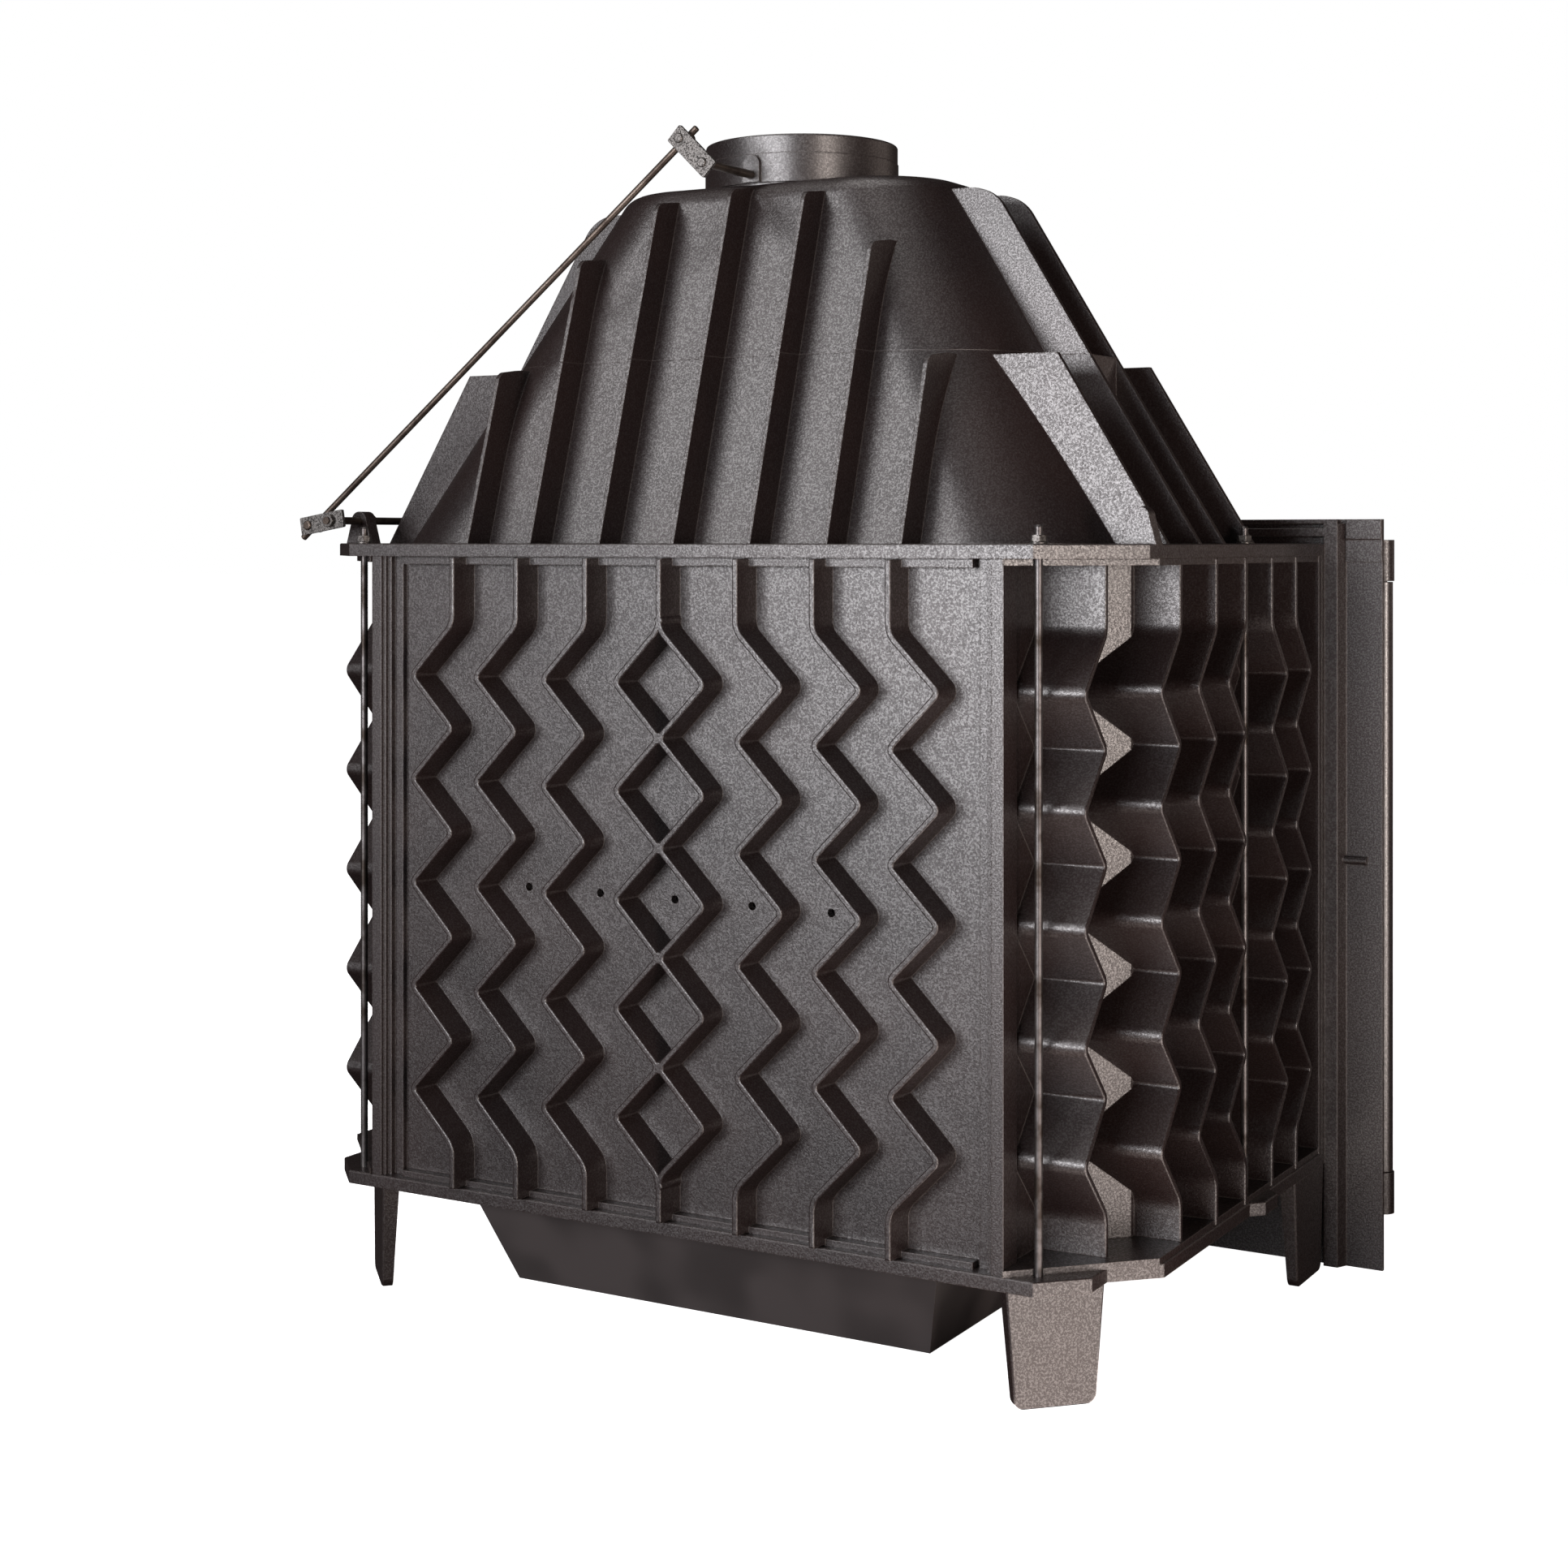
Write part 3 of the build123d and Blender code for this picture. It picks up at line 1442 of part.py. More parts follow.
def control_shaft():
    back = lower_crank_depth - crank_thickness / 2 - control_shaft_thread
    front = frame_face + knob_standoff + knob_length - knob_blind
    shaft = lengthwise(control_shaft_radius, lug_x, shaft_z, back, front)
    face = lower_crank_depth + crank_thickness / 2
    shaft += lengthwise(crank_collar_radius, lug_x, shaft_z, face, face + crank_collar)
    stop = lug_depth + lug_thickness + fit_gap
    return shaft + lengthwise(stop_collar_radius, lug_x, shaft_z, stop, stop + stop_collar)


def lower_crank():
    hub = control_shaft_radius + press_clearance
    eye = stem_radius + running_clearance
    arm = lower_crank_arm
    bar = crank(lower_crank_tail, arm, lower_crank_head, lower_crank_width, hub, eye)
    return Pos(lug_x, at(lower_crank_depth), shaft_z) * Rot(0, -lower_crank_angle, 0) * bar


def lower_crank_nut():
    """The nut behind the lower crank, on the shaft's threaded end."""
    nut = hex_nut(0, back_y, 0, nut_flats, crank_nut_height, control_shaft_radius + thread_clearance)
    back = lower_crank_depth - crank_thickness / 2
    return Pos(lug_x, at(back), shaft_z) * Rot(-90, 0, 0) * nut


def control_knob():
    near_side = frame_face + knob_standoff
    far_side = near_side + knob_length
    knob = lengthwise(knob_radius, lug_x, shaft_z, near_side, far_side)
    knob = fillet(knob.edges().filter_by(GeomType.CIRCLE), knob_edge)
    for flute in range(knob_flutes):
        across, up = turned(360 * flute / knob_flutes, knob_radius + knob_flute_out)
        x, z = lug_x + across, shaft_z + up
        knob -= lengthwise(knob_flute_radius, x, z, near_side - 1, far_side + 1)
    bore, end = control_shaft_radius + press_clearance, far_side - knob_blind
    return knob - lengthwise(bore, lug_x, shaft_z, near_side - 1, end)


def damper_shaft():
    back = upper_crank_depth - crank_thickness / 2
    seat = flue_depth + flue_radius + arch_proud + 2 * swivel_gap
    front = seat + stop_collar
    shaft = lengthwise(damper_shaft_radius, 0, damper_z, back, front)
    return shaft + lengthwise(stop_collar_radius, 0, damper_z, seat, front)


def upper_crank():
    hub = damper_shaft_radius + press_clearance
    eye = stem_radius + press_clearance
    arm = upper_crank_arm
    bar = crank(upper_crank_tail, arm, upper_crank_head, upper_crank_width, hub, eye)
    return Pos(0, at(upper_crank_depth), damper_z) * Rot(0, -upper_crank_angle, 0) * bar


def crank_rivets():
    """The peened shaft end and the pivot rivet on the upper crank."""
    back = upper_crank_depth - crank_thickness / 2
    front = upper_crank_depth + crank_thickness / 2
    x, z = upper_pivot()
    pivot = lengthwise(stem_radius, x, z, back - 1, front)
    pivot += rivet_head(x, z, back)
    return [pivot, rivet_head(0, damper_z, back)]


def rivet_head(x, z, depth):
    """A low domed head whose flat side is at a depth, with its dome to the back."""
    head = lengthwise(rivet_radius, x, z, depth - rivet_height, depth)
    rim = head.faces().sort_by(Axis.Y)[-1].edges()
    return fillet(rim, rivet_dome)


def damper_disc():
    low, high = damper_z - damper_disc_thickness / 2, damper_z + damper_disc_thickness / 2
    disc = upright(disc_radius, 0, flue_depth, low, high)
    reach = disc_radius - damper_rib_inset
    disc += lengthwise(damper_rib_radius, 0, damper_z, flue_depth - reach, flue_depth + reach)
    bore = damper_shaft_radius + press_clearance
    return disc - lengthwise(bore, 0, damper_z, flue_depth - 2 * reach, flue_depth + 2 * reach)


def rod_ends():
    """Middles of the two swivels, where the rod passes through them."""
    x0, z0 = lower_pivot()
    x1, z1 = upper_pivot()
    d0 = lower_crank_depth + crank_thickness / 2 + swivel_gap + swivel_length / 2
    d1 = upper_crank_depth + crank_thickness / 2 + swivel_gap + swivel_length / 2
    return Vector(x0, at(d0), z0), Vector(x1, at(d1), z1)


def link_rod():
    start, end = rod_ends()
    along = (end - start).normalized()
    length = (end - start).length + rod_overrun_low + rod_overrun
    plane = Plane(origin=start - along * rod_overrun_low, z_dir=along)
    rod = extrude(plane * Circle(rod_radius), length)
    return chamfer(rod.edges().filter_by(GeomType.CIRCLE), rod_end_chamfer)


def link_swivels():
    """The two swivels the rod is clamped in; the lower one's stem turns in its crank."""
    start, end = rod_ends()
    along = (end - start).normalized()
    swivels = []
    for place in (start, end):
        depth = back_y - place.Y
        near_side, far_side = depth - swivel_length / 2, depth + swivel_length / 2
        swivel = lengthwise(swivel_radius, place.X, place.Z, near_side, far_side)
        swivel = chamfer(swivel.edges().filter_by(GeomType.CIRCLE), nut_chamfer)
        if place is start:
            crank_back = lower_crank_depth - crank_thickness / 2
            swivel += lengthwise(stem_radius, place.X, place.Z, crank_back - 1, near_side + 1)
            swivel += rivet_head(place.X, place.Z, crank_back - swivel_gap)
        bore = Plane(origin=place, z_dir=along) * Circle(rod_radius + press_clearance)
        swivels.append(swivel - extrude(bore, 3 * swivel_radius, both=True))
    return swivels


# Build and write every node
save("bottom_plate", bottom_plate())
save("top_plate", top_plate())
save("back_panel", back_panel())
right_side = side_panel()
save("right_side_panel", right_side)
save("left_side_panel", mirror(right_side, about=Plane.YZ))
save("hood_lower", hood_lower())
save("hood_upper", hood_upper())
save("flue_collar", flue_collar())
save("tie_rods", *tie_rods())
save("tie_rod_nuts", *tie_rod_nuts())
save("tie_rod_washers", *tie_rod_washers())
for node, place in leg_places().items():
    save(node, leg(*place))
save("leg_bolts", *leg_bolts())
save("ash_box", ash_box())
save("grate", grate())
save("back_lining", back_lining())
right_lining = side_lining()
save("right_lining", right_lining)
save("left_lining", mirror(right_lining, about=Plane.YZ))
save("baffle", baffle())
save("log_guard", log_guard())
save("front_frame", front_frame())
save("frame_screws", *frame_screws())
save("air_slider", air_slider())
save("air_slider_screws", *air_slider_screws())
save("air_slider_knob", air_slider_knob())
save("ash_pan", ash_pan())
save("ash_pan_front", ash_pan_front())
save("ash_pan_knob", ash_pan_knob())
save("door_frame", door_frame())
save("door_seal", door_seal())
save("hinge_pins", *hinge_pins())
save("door_glass", door_glass())
save("glass_seal", glass_seal())
save("glass_clips", *glass_clips())
save("glass_clip_screws", *glass_clip_screws())
save("latch_cam", latch_cam())
save("handle_spindle", handle_spindle())
save("handle_lever", handle_lever())
save("handle_grip", handle_grip())
save("control_shaft", control_shaft())
save("lower_crank", lower_crank())
save("lower_crank_nut", lower_crank_nut())
save("control_knob", control_knob())
save("damper_shaft", damper_shaft())
save("upper_crank", upper_crank())
save("crank_rivets", *crank_rivets())
save("damper_disc", damper_disc())
save("link_rod", link_rod())
save("link_swivels", *link_swivels())
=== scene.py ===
import logging
import math
from dataclasses import dataclass
from enum import Enum

import bpy
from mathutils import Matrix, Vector


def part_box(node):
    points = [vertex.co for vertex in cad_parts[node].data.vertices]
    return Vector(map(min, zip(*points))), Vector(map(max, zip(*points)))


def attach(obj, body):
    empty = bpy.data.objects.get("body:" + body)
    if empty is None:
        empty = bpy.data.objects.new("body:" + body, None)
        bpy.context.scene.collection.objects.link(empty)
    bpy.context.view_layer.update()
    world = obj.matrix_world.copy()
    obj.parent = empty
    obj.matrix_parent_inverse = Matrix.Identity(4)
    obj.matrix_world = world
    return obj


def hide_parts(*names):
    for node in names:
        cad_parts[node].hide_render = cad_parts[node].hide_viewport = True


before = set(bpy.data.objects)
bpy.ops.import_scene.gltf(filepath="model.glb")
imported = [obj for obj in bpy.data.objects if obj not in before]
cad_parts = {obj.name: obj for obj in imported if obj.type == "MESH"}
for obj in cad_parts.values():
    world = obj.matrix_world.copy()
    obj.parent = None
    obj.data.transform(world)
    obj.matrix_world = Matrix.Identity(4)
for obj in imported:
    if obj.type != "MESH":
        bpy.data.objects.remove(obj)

# A cast-iron fireplace insert, seen from behind and to one side: the finishes of its
# castings and fittings, the threads of its tie rods and the ropes that seal its door.
# Everything is in metres, in the frame's own axes.

Colour = tuple[float, float, float]
Point = tuple[float, float, float]
log = logging.getLogger("fireplace_insert")


def opaque(colour: Colour) -> tuple[float, float, float, float]:
    """A colour with full alpha, as Blender's sockets take it."""
    return (*colour, 1.0)


class Shade:
    """A shader socket that takes arithmetic, so that a mask reads as a formula."""

    def __init__(self, surface: "Surface", socket: bpy.types.NodeSocket) -> None:
        """Wrap one output socket of a surface's nodes."""
        self.surface = surface
        self.socket = socket

    def _math(self, operation: str, a: "Shade | float", b: "Shade | float") -> "Shade":
        """Add a Math node on two values."""
        return self.surface.node("ShaderNodeMath", {"operation": operation}, {0: a, 1: b})

    def __add__(self, other: "Shade | float") -> "Shade":
        """The sum of two values."""
        return self._math("ADD", self, other)

    def __sub__(self, other: "Shade | float") -> "Shade":
        """This value less another."""
        return self._math("SUBTRACT", self, other)

    def __rsub__(self, other: float) -> "Shade":
        """A number less this value."""
        return self._math("SUBTRACT", other, self)

    def __mul__(self, other: "Shade | float") -> "Shade":
        """The product of two values."""
        return self._math("MULTIPLY", self, other)

    __radd__ = __add__
    __rmul__ = __mul__

    def between(self, low: float, high: float) -> "Shade":
        """A mask that rises smoothly from 0 at one value to 1 at another.

        Args:
            low: the value where the mask starts.
            high: the value where it is full.

        Returns:
            The mask.
        """
        settings = {"interpolation_type": "SMOOTHSTEP"}
        sockets = {"Value": self, "From Min": low, "From Max": high}
        return self.surface.node("ShaderNodeMapRange", settings, sockets)


class Surface:
    """A material under construction."""

    def __init__(self, name: str) -> None:
        """Start an empty material."""
        self.material = bpy.data.materials.new(name)
        self.material.use_nodes = True
        self.nodes = self.material.node_tree.nodes
        self.links = self.material.node_tree.links
        self.nodes.clear()
        self.place = self.node("ShaderNodeTexCoord", output="Object")

    def node(
        self,
        kind: str,
        settings: dict[str, object] | None = None,
        sockets: dict[int | str, object] | None = None,
        output: int | str | None = 0,
    ) -> "Shade | None":
        """Add one node.

        Args:
            kind: the node's type.
            settings: its own properties, set before its inputs.
            sockets: values or links of its inputs, by index or name.
            output: the output socket to return, or None for a node without any.

        Returns:
            The chosen output, or None.
        """
        node = self.nodes.new(kind)
        for key, value in (settings or {}).items():
            setattr(node, key, value)
        for key, value in (sockets or {}).items():
            if isinstance(value, Shade):
                self.links.new(value.socket, node.inputs[key])
            else:
                node.inputs[key].default_value = value
        return None if output is None else Shade(self, node.outputs[output])

    def noise(self, per_metre: float, detail: float = 2.0, rough: float = 0.5) -> Shade:
        """Soft random variation, about 0.5 in the middle.

        Args:
            per_metre: how many bumps fit in a metre.
            detail: how many finer layers are added.
            rough: how strong the finer layers are.

        Returns:
            The noise as a value.
        """
        sockets = {"Vector": self.place, "Scale": per_metre, "Detail": detail}
        return self.node("ShaderNodeTexNoise", {}, {**sockets, "Roughness": rough})

    def mix(self, share: Shade | float, a: object, b: object) -> Shade:
        """A colour between two colours."""
        settings = {"data_type": "RGBA"}
        return self.node("ShaderNodeMix", settings, {0: share, 6: a, 7: b}, 2)

    def rounded(self, radius: float) -> Shade:
        """The surface's direction with its edges rounded over."""
        return self.node("ShaderNodeBevel", {"samples": 4}, {"Radius": radius})

    def edges(self, radius: float) -> Shade:
        """A mask of the outer and inner edges, 1 on the edge itself."""
        true = self.node("ShaderNodeNewGeometry", output="True Normal")
        settings = {"operation": "DOT_PRODUCT"}
        sockets = {0: self.rounded(radius), 1: true}
        along = self.node("ShaderNodeVectorMath", settings, sockets, "Value")
        return (1 - along).between(0.02, 0.3)

    def hollows(self, reach: float) -> Shade:
        """A mask of inner corners and seams, 1 deep inside them.

        Args:
            reach: how far from the corner it is felt, in metres.

        Returns:
            The mask.
        """
        settings = {"samples": 4, "only_local": True}
        open_sky = self.node("ShaderNodeAmbientOcclusion", settings, {"Distance": reach}, "AO")
        return (1 - open_sky).between(0.25, 0.6)

    def bumped(self, height: Shade, depth: float, radius: float) -> Shade:
        """The surface's direction with rounded edges and a relief.

        Args:
            height: the relief, from 0 to 1.
            depth: how deep it is, in metres.
            radius: the rounding of the edges, in metres.

        Returns:
            The direction, for a shader's Normal.
        """
        sockets = {"Strength": 1.0, "Distance": depth, "Height": height}
        return self.node("ShaderNodeBump", {}, {**sockets, "Normal": self.rounded(radius)})

    def finish(self, **sockets: object) -> bpy.types.Material:
        """Close the material with one Principled shader.

        Args:
            **sockets: the shader's inputs, with underscores for spaces.

        Returns:
            The finished material.
        """
        named = {key.replace("_", " "): value for key, value in sockets.items()}
        shader = self.node("ShaderNodeBsdfPrincipled", {}, named)
        self.node("ShaderNodeOutputMaterial", {}, {"Surface": shader}, None)
        return self.material


class Iron(Enum):
    """How a casting was finished."""

    SAND = "sand"
    FINE = "fine"
    BURNT = "burnt"


@dataclass(frozen=True)
class CastIron:
    """Black stove paint over sand-cast iron: grains, soft lumps, and lighter edges that are partly
    rubbed wear and partly a painted highlight.
    """

    kind: Iron
    tint: Colour = (0.0056, 0.0030, 0.0030)
    warm: Colour = (0.0085, 0.0042, 0.0038)
    # The lighter edge colour: partly rubbed paint, partly a painted highlight along the edges and the
    # rib roots.
    rub_and_highlight: Colour = (0.050, 0.040, 0.036)
    rub_and_highlight_share: float = 0.7
    roughness: float = 0.34
    cloud_roughness: float = 0.06
    pit_roughness: float = 0.12
    seam_roughness: float = 0.6
    seam_reach: float = 0.004
    grain: float = 530.0
    pit: float = 520.0
    cloud: float = 7.0
    grain_depth: float = 0.00030
    ior: float = 1.5
    fleck_weight: float = 0.66
    fleck_roughness: float = 0.36
    fleck_ior: float = 1.75
    edge: float = 0.0018

    def material(self) -> bpy.types.Material:
        """Build the finish."""
        s = Surface(f"cast_iron_{self.kind.value}")
        sand = s.noise(self.grain, 2.0, 0.75)
        pits = s.noise(self.pit, 1.0, 0.5)
        clouds = s.noise(self.cloud, 2.0, 0.5)
        flecks = sand.between(0.44, 0.62)
        uneven = self.cloud_roughness * clouds + self.pit_roughness * pits.between(0.5, 0.7)
        dusty = self.seam_roughness * s.hollows(self.seam_reach)
        paint = s.mix(clouds.between(0.3, 0.7), opaque(self.tint), opaque(self.warm))
        # The edge mask lightens outer and inner edges alike: partly rubbed wear, partly a painted
        # highlight.
        worn_and_highlight = s.mix(s.edges(self.edge) * self.rub_and_highlight_share, paint, opaque(self.rub_and_highlight))
        relief = sand * 0.75 + pits * 0.25
        return s.finish(
            Base_Color=worn_and_highlight,
            Roughness=self.roughness + uneven + dusty,
            Normal=s.bumped(relief, self.grain_depth, self.edge),
            Coat_Weight=self.fleck_weight * flecks,
            Coat_Roughness=self.fleck_roughness,
            Coat_IOR=self.fleck_ior,
            IOR=self.ior,
        )


@dataclass(frozen=True)
class BareSteel:
    """Uncoated steel, dulled and a little brown."""

    name: str
    tint: Colour
    stain: Colour
    roughness: float
    grain: float = 400.0
    depth: float = 0.00008
    patch: float = 38.0
    metallic: float = 0.85

    def material(self) -> bpy.types.Material:
        """Build the finish."""
        s = Surface(self.name)
        scale = s.noise(self.grain, 3.0, 0.6)
        patches = s.noise(self.patch, 3.0, 0.6)
        stained = s.mix(patches.between(0.42, 0.66), opaque(self.tint), opaque(self.stain))
        speckled = s.mix(scale.between(0.5, 0.7) * 0.4, stained, opaque(self.stain))
        return s.finish(
            Base_Color=speckled,
            Roughness=self.roughness + 0.2 * patches - 0.1 * scale,
            Metallic=self.metallic,
            Normal=s.bumped(scale, self.depth, 0.0006),
        )


@dataclass(frozen=True)
class SheetPaint:
    """Black paint on pressed sheet: almost smooth, with faint waves."""

    name: str = "sheet_paint"
    tint: Colour = (0.022, 0.019, 0.019)
    roughness: float = 0.42

    def material(self) -> bpy.types.Material:
        """Build the finish."""
        s = Surface(self.name)
        orange_peel = s.noise(260.0, 2.0, 0.4)
        waves = s.noise(12.0, 1.0, 0.5)
        lighter = tuple(1.6 * c for c in self.tint)
        paint = s.mix(waves.between(0.35, 0.65), opaque(self.tint), opaque(lighter))
        # The edges are lightened: partly worn paint, partly a painted highlight along outer and inner
        # edges.
        worn_and_highlight = s.mix(s.edges(0.001) * 0.5, paint, opaque((0.07, 0.06, 0.055)))
        return s.finish(
            Base_Color=worn_and_highlight,
            Roughness=self.roughness + 0.1 * waves,
            Normal=s.bumped(orange_peel, 0.00005, 0.001),
        )


@dataclass(frozen=True)
class MouldedKnob:
    """Black heatproof moulding with a satin skin."""

    name: str = "moulded_knob"

    def material(self) -> bpy.types.Material:
        """Build the finish."""
        s = Surface(self.name)
        skin = s.noise(300.0, 2.0, 0.5)
        handled = s.noise(45.0, 2.0, 0.5)
        colour = s.mix(handled, opaque((0.012, 0.012, 0.012)), opaque((0.022, 0.021, 0.02)))
        return s.finish(
            Base_Color=colour,
            Roughness=0.3 + 0.18 * handled,
            Normal=s.bumped(skin, 0.00003, 0.0005),
        )


@dataclass(frozen=True)
class CeramicGlass:
    """Clear heatproof glass with a faint smoke haze at its foot."""

    name: str = "ceramic_glass"

    def material(self) -> bpy.types.Material:
        """Build the finish."""
        s = Surface(self.name)
        haze = s.noise(9.0, 3.0, 0.6)
        return s.finish(
            Base_Color=opaque((0.62, 0.56, 0.5)),
            Roughness=0.04 + 0.08 * haze,
            Alpha=0.24 + 0.1 * haze,
            IOR=1.53,
        )


@dataclass(frozen=True)
class WovenGlass:
    """Braided glass fibre rope, grey from its graphite."""

    name: str = "woven_glass"
    per_metre: float = 900.0

    def material(self) -> bpy.types.Material:
        """Build the finish."""
        s = Surface(self.name)
        fibres = s.noise(self.per_metre, 4.0, 0.7)
        soot = s.noise(30.0, 2.0, 0.5)
        colour = s.mix(soot, opaque((0.10, 0.10, 0.10)), opaque((0.17, 0.165, 0.16)))
        fuzzy = s.mix(fibres.between(0.5, 0.7) * 0.6, colour, opaque((0.3, 0.29, 0.28)))
        return s.finish(
            Base_Color=fuzzy,
            Roughness=0.85 + 0.1 * soot,
            Normal=s.bumped(fibres, 0.0002, 0.0003),
        )


def dress(material: bpy.types.Material, *nodes: str) -> None:
    """Give CAD nodes a finish.

    Args:
        material: the finish.
        *nodes: names of the CAD nodes.
    """
    for name in nodes:
        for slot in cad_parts[name].material_slots:
            slot.material = material
        log.info("dressed %s in %s", name, material.name)


def new_piece(
    name: str,
    points: list[Vector],
    faces: list[tuple[int, ...]],
    material: bpy.types.Material,
) -> bpy.types.Object:
    """Make a smooth-shaded mesh object.

    Args:
        name: the piece's name.
        points: its corners.
        faces: its faces, as indices of corners.
        material: its finish.

    Returns:
        The object, linked into the scene.
    """
    mesh = bpy.data.meshes.new(name)
    mesh.from_pydata(points, [], faces)
    mesh.shade_smooth()
    mesh.materials.append(material)
    piece = bpy.data.objects.new(name, mesh)
    bpy.context.scene.collection.objects.link(piece)
    log.info("built %s with %d faces", name, len(faces))
    return piece


@dataclass
class Castings:
    """The plates, panels, hood, frame and legs."""

    rough: tuple[str, ...] = (
        "bottom_plate", "top_plate", "back_panel", "left_side_panel", "right_side_panel",
        "hood_lower", "hood_upper", "front_frame", "leg_rear_left", "leg_rear_right",
        "leg_front_left", "leg_front_right",
    )
    smooth: tuple[str, ...] = ("flue_collar", "door_frame", "damper_disc")
    burnt: tuple[str, ...] = (
        "grate", "back_lining", "left_lining", "right_lining", "baffle", "log_guard",
    )

    def build(self) -> None:
        """Dress every casting."""
        dress(CastIron(Iron.SAND).material(), *self.rough)
        fine = CastIron(Iron.FINE, roughness=0.33, grain_depth=0.0001, ior=1.75)
        dress(fine.material(), *self.smooth)
        burnt = CastIron(Iron.BURNT, warm=(0.05, 0.036, 0.028), roughness=0.6)
        dress(burnt.material(), *self.burnt)


@dataclass
class SheetParts:
    """The ash hopper, the drawer and the air slider."""

    sheets: tuple[str, ...] = ("ash_box", "ash_pan", "ash_pan_front", "air_slider")
    knobs: tuple[str, ...] = ("ash_pan_knob", "air_slider_knob", "control_knob", "handle_grip")

    def build(self) -> None:
        """Dress every sheet part and knob."""
        dress(SheetPaint().material(), *self.sheets)
        dress(MouldedKnob().material(), *self.knobs)


@dataclass
class Fittings:
    """Nuts, screws, cranks, rods and the door's ironwork."""

    zinc: tuple[str, ...] = (
        "tie_rod_nuts", "tie_rod_washers", "leg_bolts", "frame_screws",
        "glass_clip_screws", "glass_clips", "air_slider_screws", "lower_crank_nut",
    )
    cranks: tuple[str, ...] = ("lower_crank", "upper_crank", "crank_rivets")
    rods: tuple[str, ...] = (
        "control_shaft", "damper_shaft", "link_rod", "link_swivels", "handle_spindle",
        "hinge_pins", "latch_cam",
    )
    handle: tuple[str, ...] = ("handle_lever",)

    def build(self) -> None:
        """Dress every fitting."""
        zinc = BareSteel("zinc_plate", (0.11, 0.105, 0.10), (0.03, 0.026, 0.024), 0.42, patch=420.0)
        crank = BareSteel(
            "scaled_steel", (0.13, 0.125, 0.12), (0.012, 0.011, 0.010), 0.46, 700.0, 0.0002, 620.0
        )
        rod = BareSteel("brown_steel", (0.075, 0.06, 0.05), (0.03, 0.022, 0.018), 0.36)
        satin = BareSteel("satin_steel", (0.5, 0.49, 0.47), (0.4, 0.39, 0.37), 0.28)
        dress(zinc.material(), *self.zinc)
        dress(crank.material(), *self.cranks)
        dress(rod.material(), *self.rods)
        dress(satin.material(), *self.handle)


@dataclass
class TieRods:
    """Threaded rods that clamp the two plates, with their threads cut."""

    radius: float = 0.004
    depth: float = 0.0006
    pitch: float = 0.00125
    sides: int = 12
    wide: float = 0.445
    narrow: float = 0.3795
    steps: tuple[float, ...] = (0.0, 0.351)

    def rod(self, x: float, y: float, low: float, high: float, start: int) -> tuple[list, list]:
        """One rod's corners and faces.

        Args:
            x: the rod's place across.
            y: the rod's place front to back.
            low: the height of its foot.
            high: the height of its top.
            start: the index of its first corner.

        Returns:
            The corners, and the faces that join them.
        """
        points, faces = [], []
        rings = int((high - low) / self.pitch * 2) - 2
        for ring in range(rings + 1):
            for side in range(self.sides):
                turn = side / self.sides
                z = low + self.pitch * (ring / 2 + turn)
                r = self.radius - (self.depth if ring % 2 else 0.0)
                if ring in (0, rings):
                    z = low if ring == 0 else high
                    r = self.radius - self.depth
                angle = math.tau * turn
                points.append(Vector((x + r * math.cos(angle), y + r * math.sin(angle), z)))
        for ring in range(rings):
            for side in range(self.sides):
                a = start + ring * self.sides + side
                after = start + ring * self.sides + (side + 1) % self.sides
                shift = 2 * self.sides if side == self.sides - 1 else 0
                faces.append(self.quad(a, after, shift, start, rings))
        faces.append(tuple(range(start + self.sides - 1, start - 1, -1)))
        last = start + rings * self.sides
        faces.append(tuple(range(last, last + self.sides)))
        return points, faces

    def quad(self, a: int, after: int, shift: int, start: int, rings: int) -> tuple[int, ...]:
        """One face of the thread, stepping up a turn where the helix closes."""
        top = start + (rings + 1) * self.sides - 1
        low, high = after + shift, after + shift + self.sides
        if high > top:
            low, high = min(low, top), min(high, top)
        corners = []
        for corner in (a, low, high, a + self.sides):
            if corner not in corners:
                corners.append(corner)
        return tuple(corners)

    def build(self) -> None:
        """Build the four rods as one piece."""
        low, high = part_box("tie_rods")
        finish = BareSteel("threaded_steel", (0.085, 0.08, 0.08), (0.022, 0.017, 0.014), 0.36)
        points, faces = [], []
        for index, step in enumerate(self.steps):
            reach = self.wide if index else self.narrow
            y = high.y - self.radius - step
            for side in (-1, 1):
                more, joined = self.rod(side * reach, y, low.z, high.z, len(points))
                points += more
                faces += joined
        piece = new_piece("tie_rod_threads", points, faces, finish.material())
        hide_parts("tie_rods")
        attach(piece, "stove")


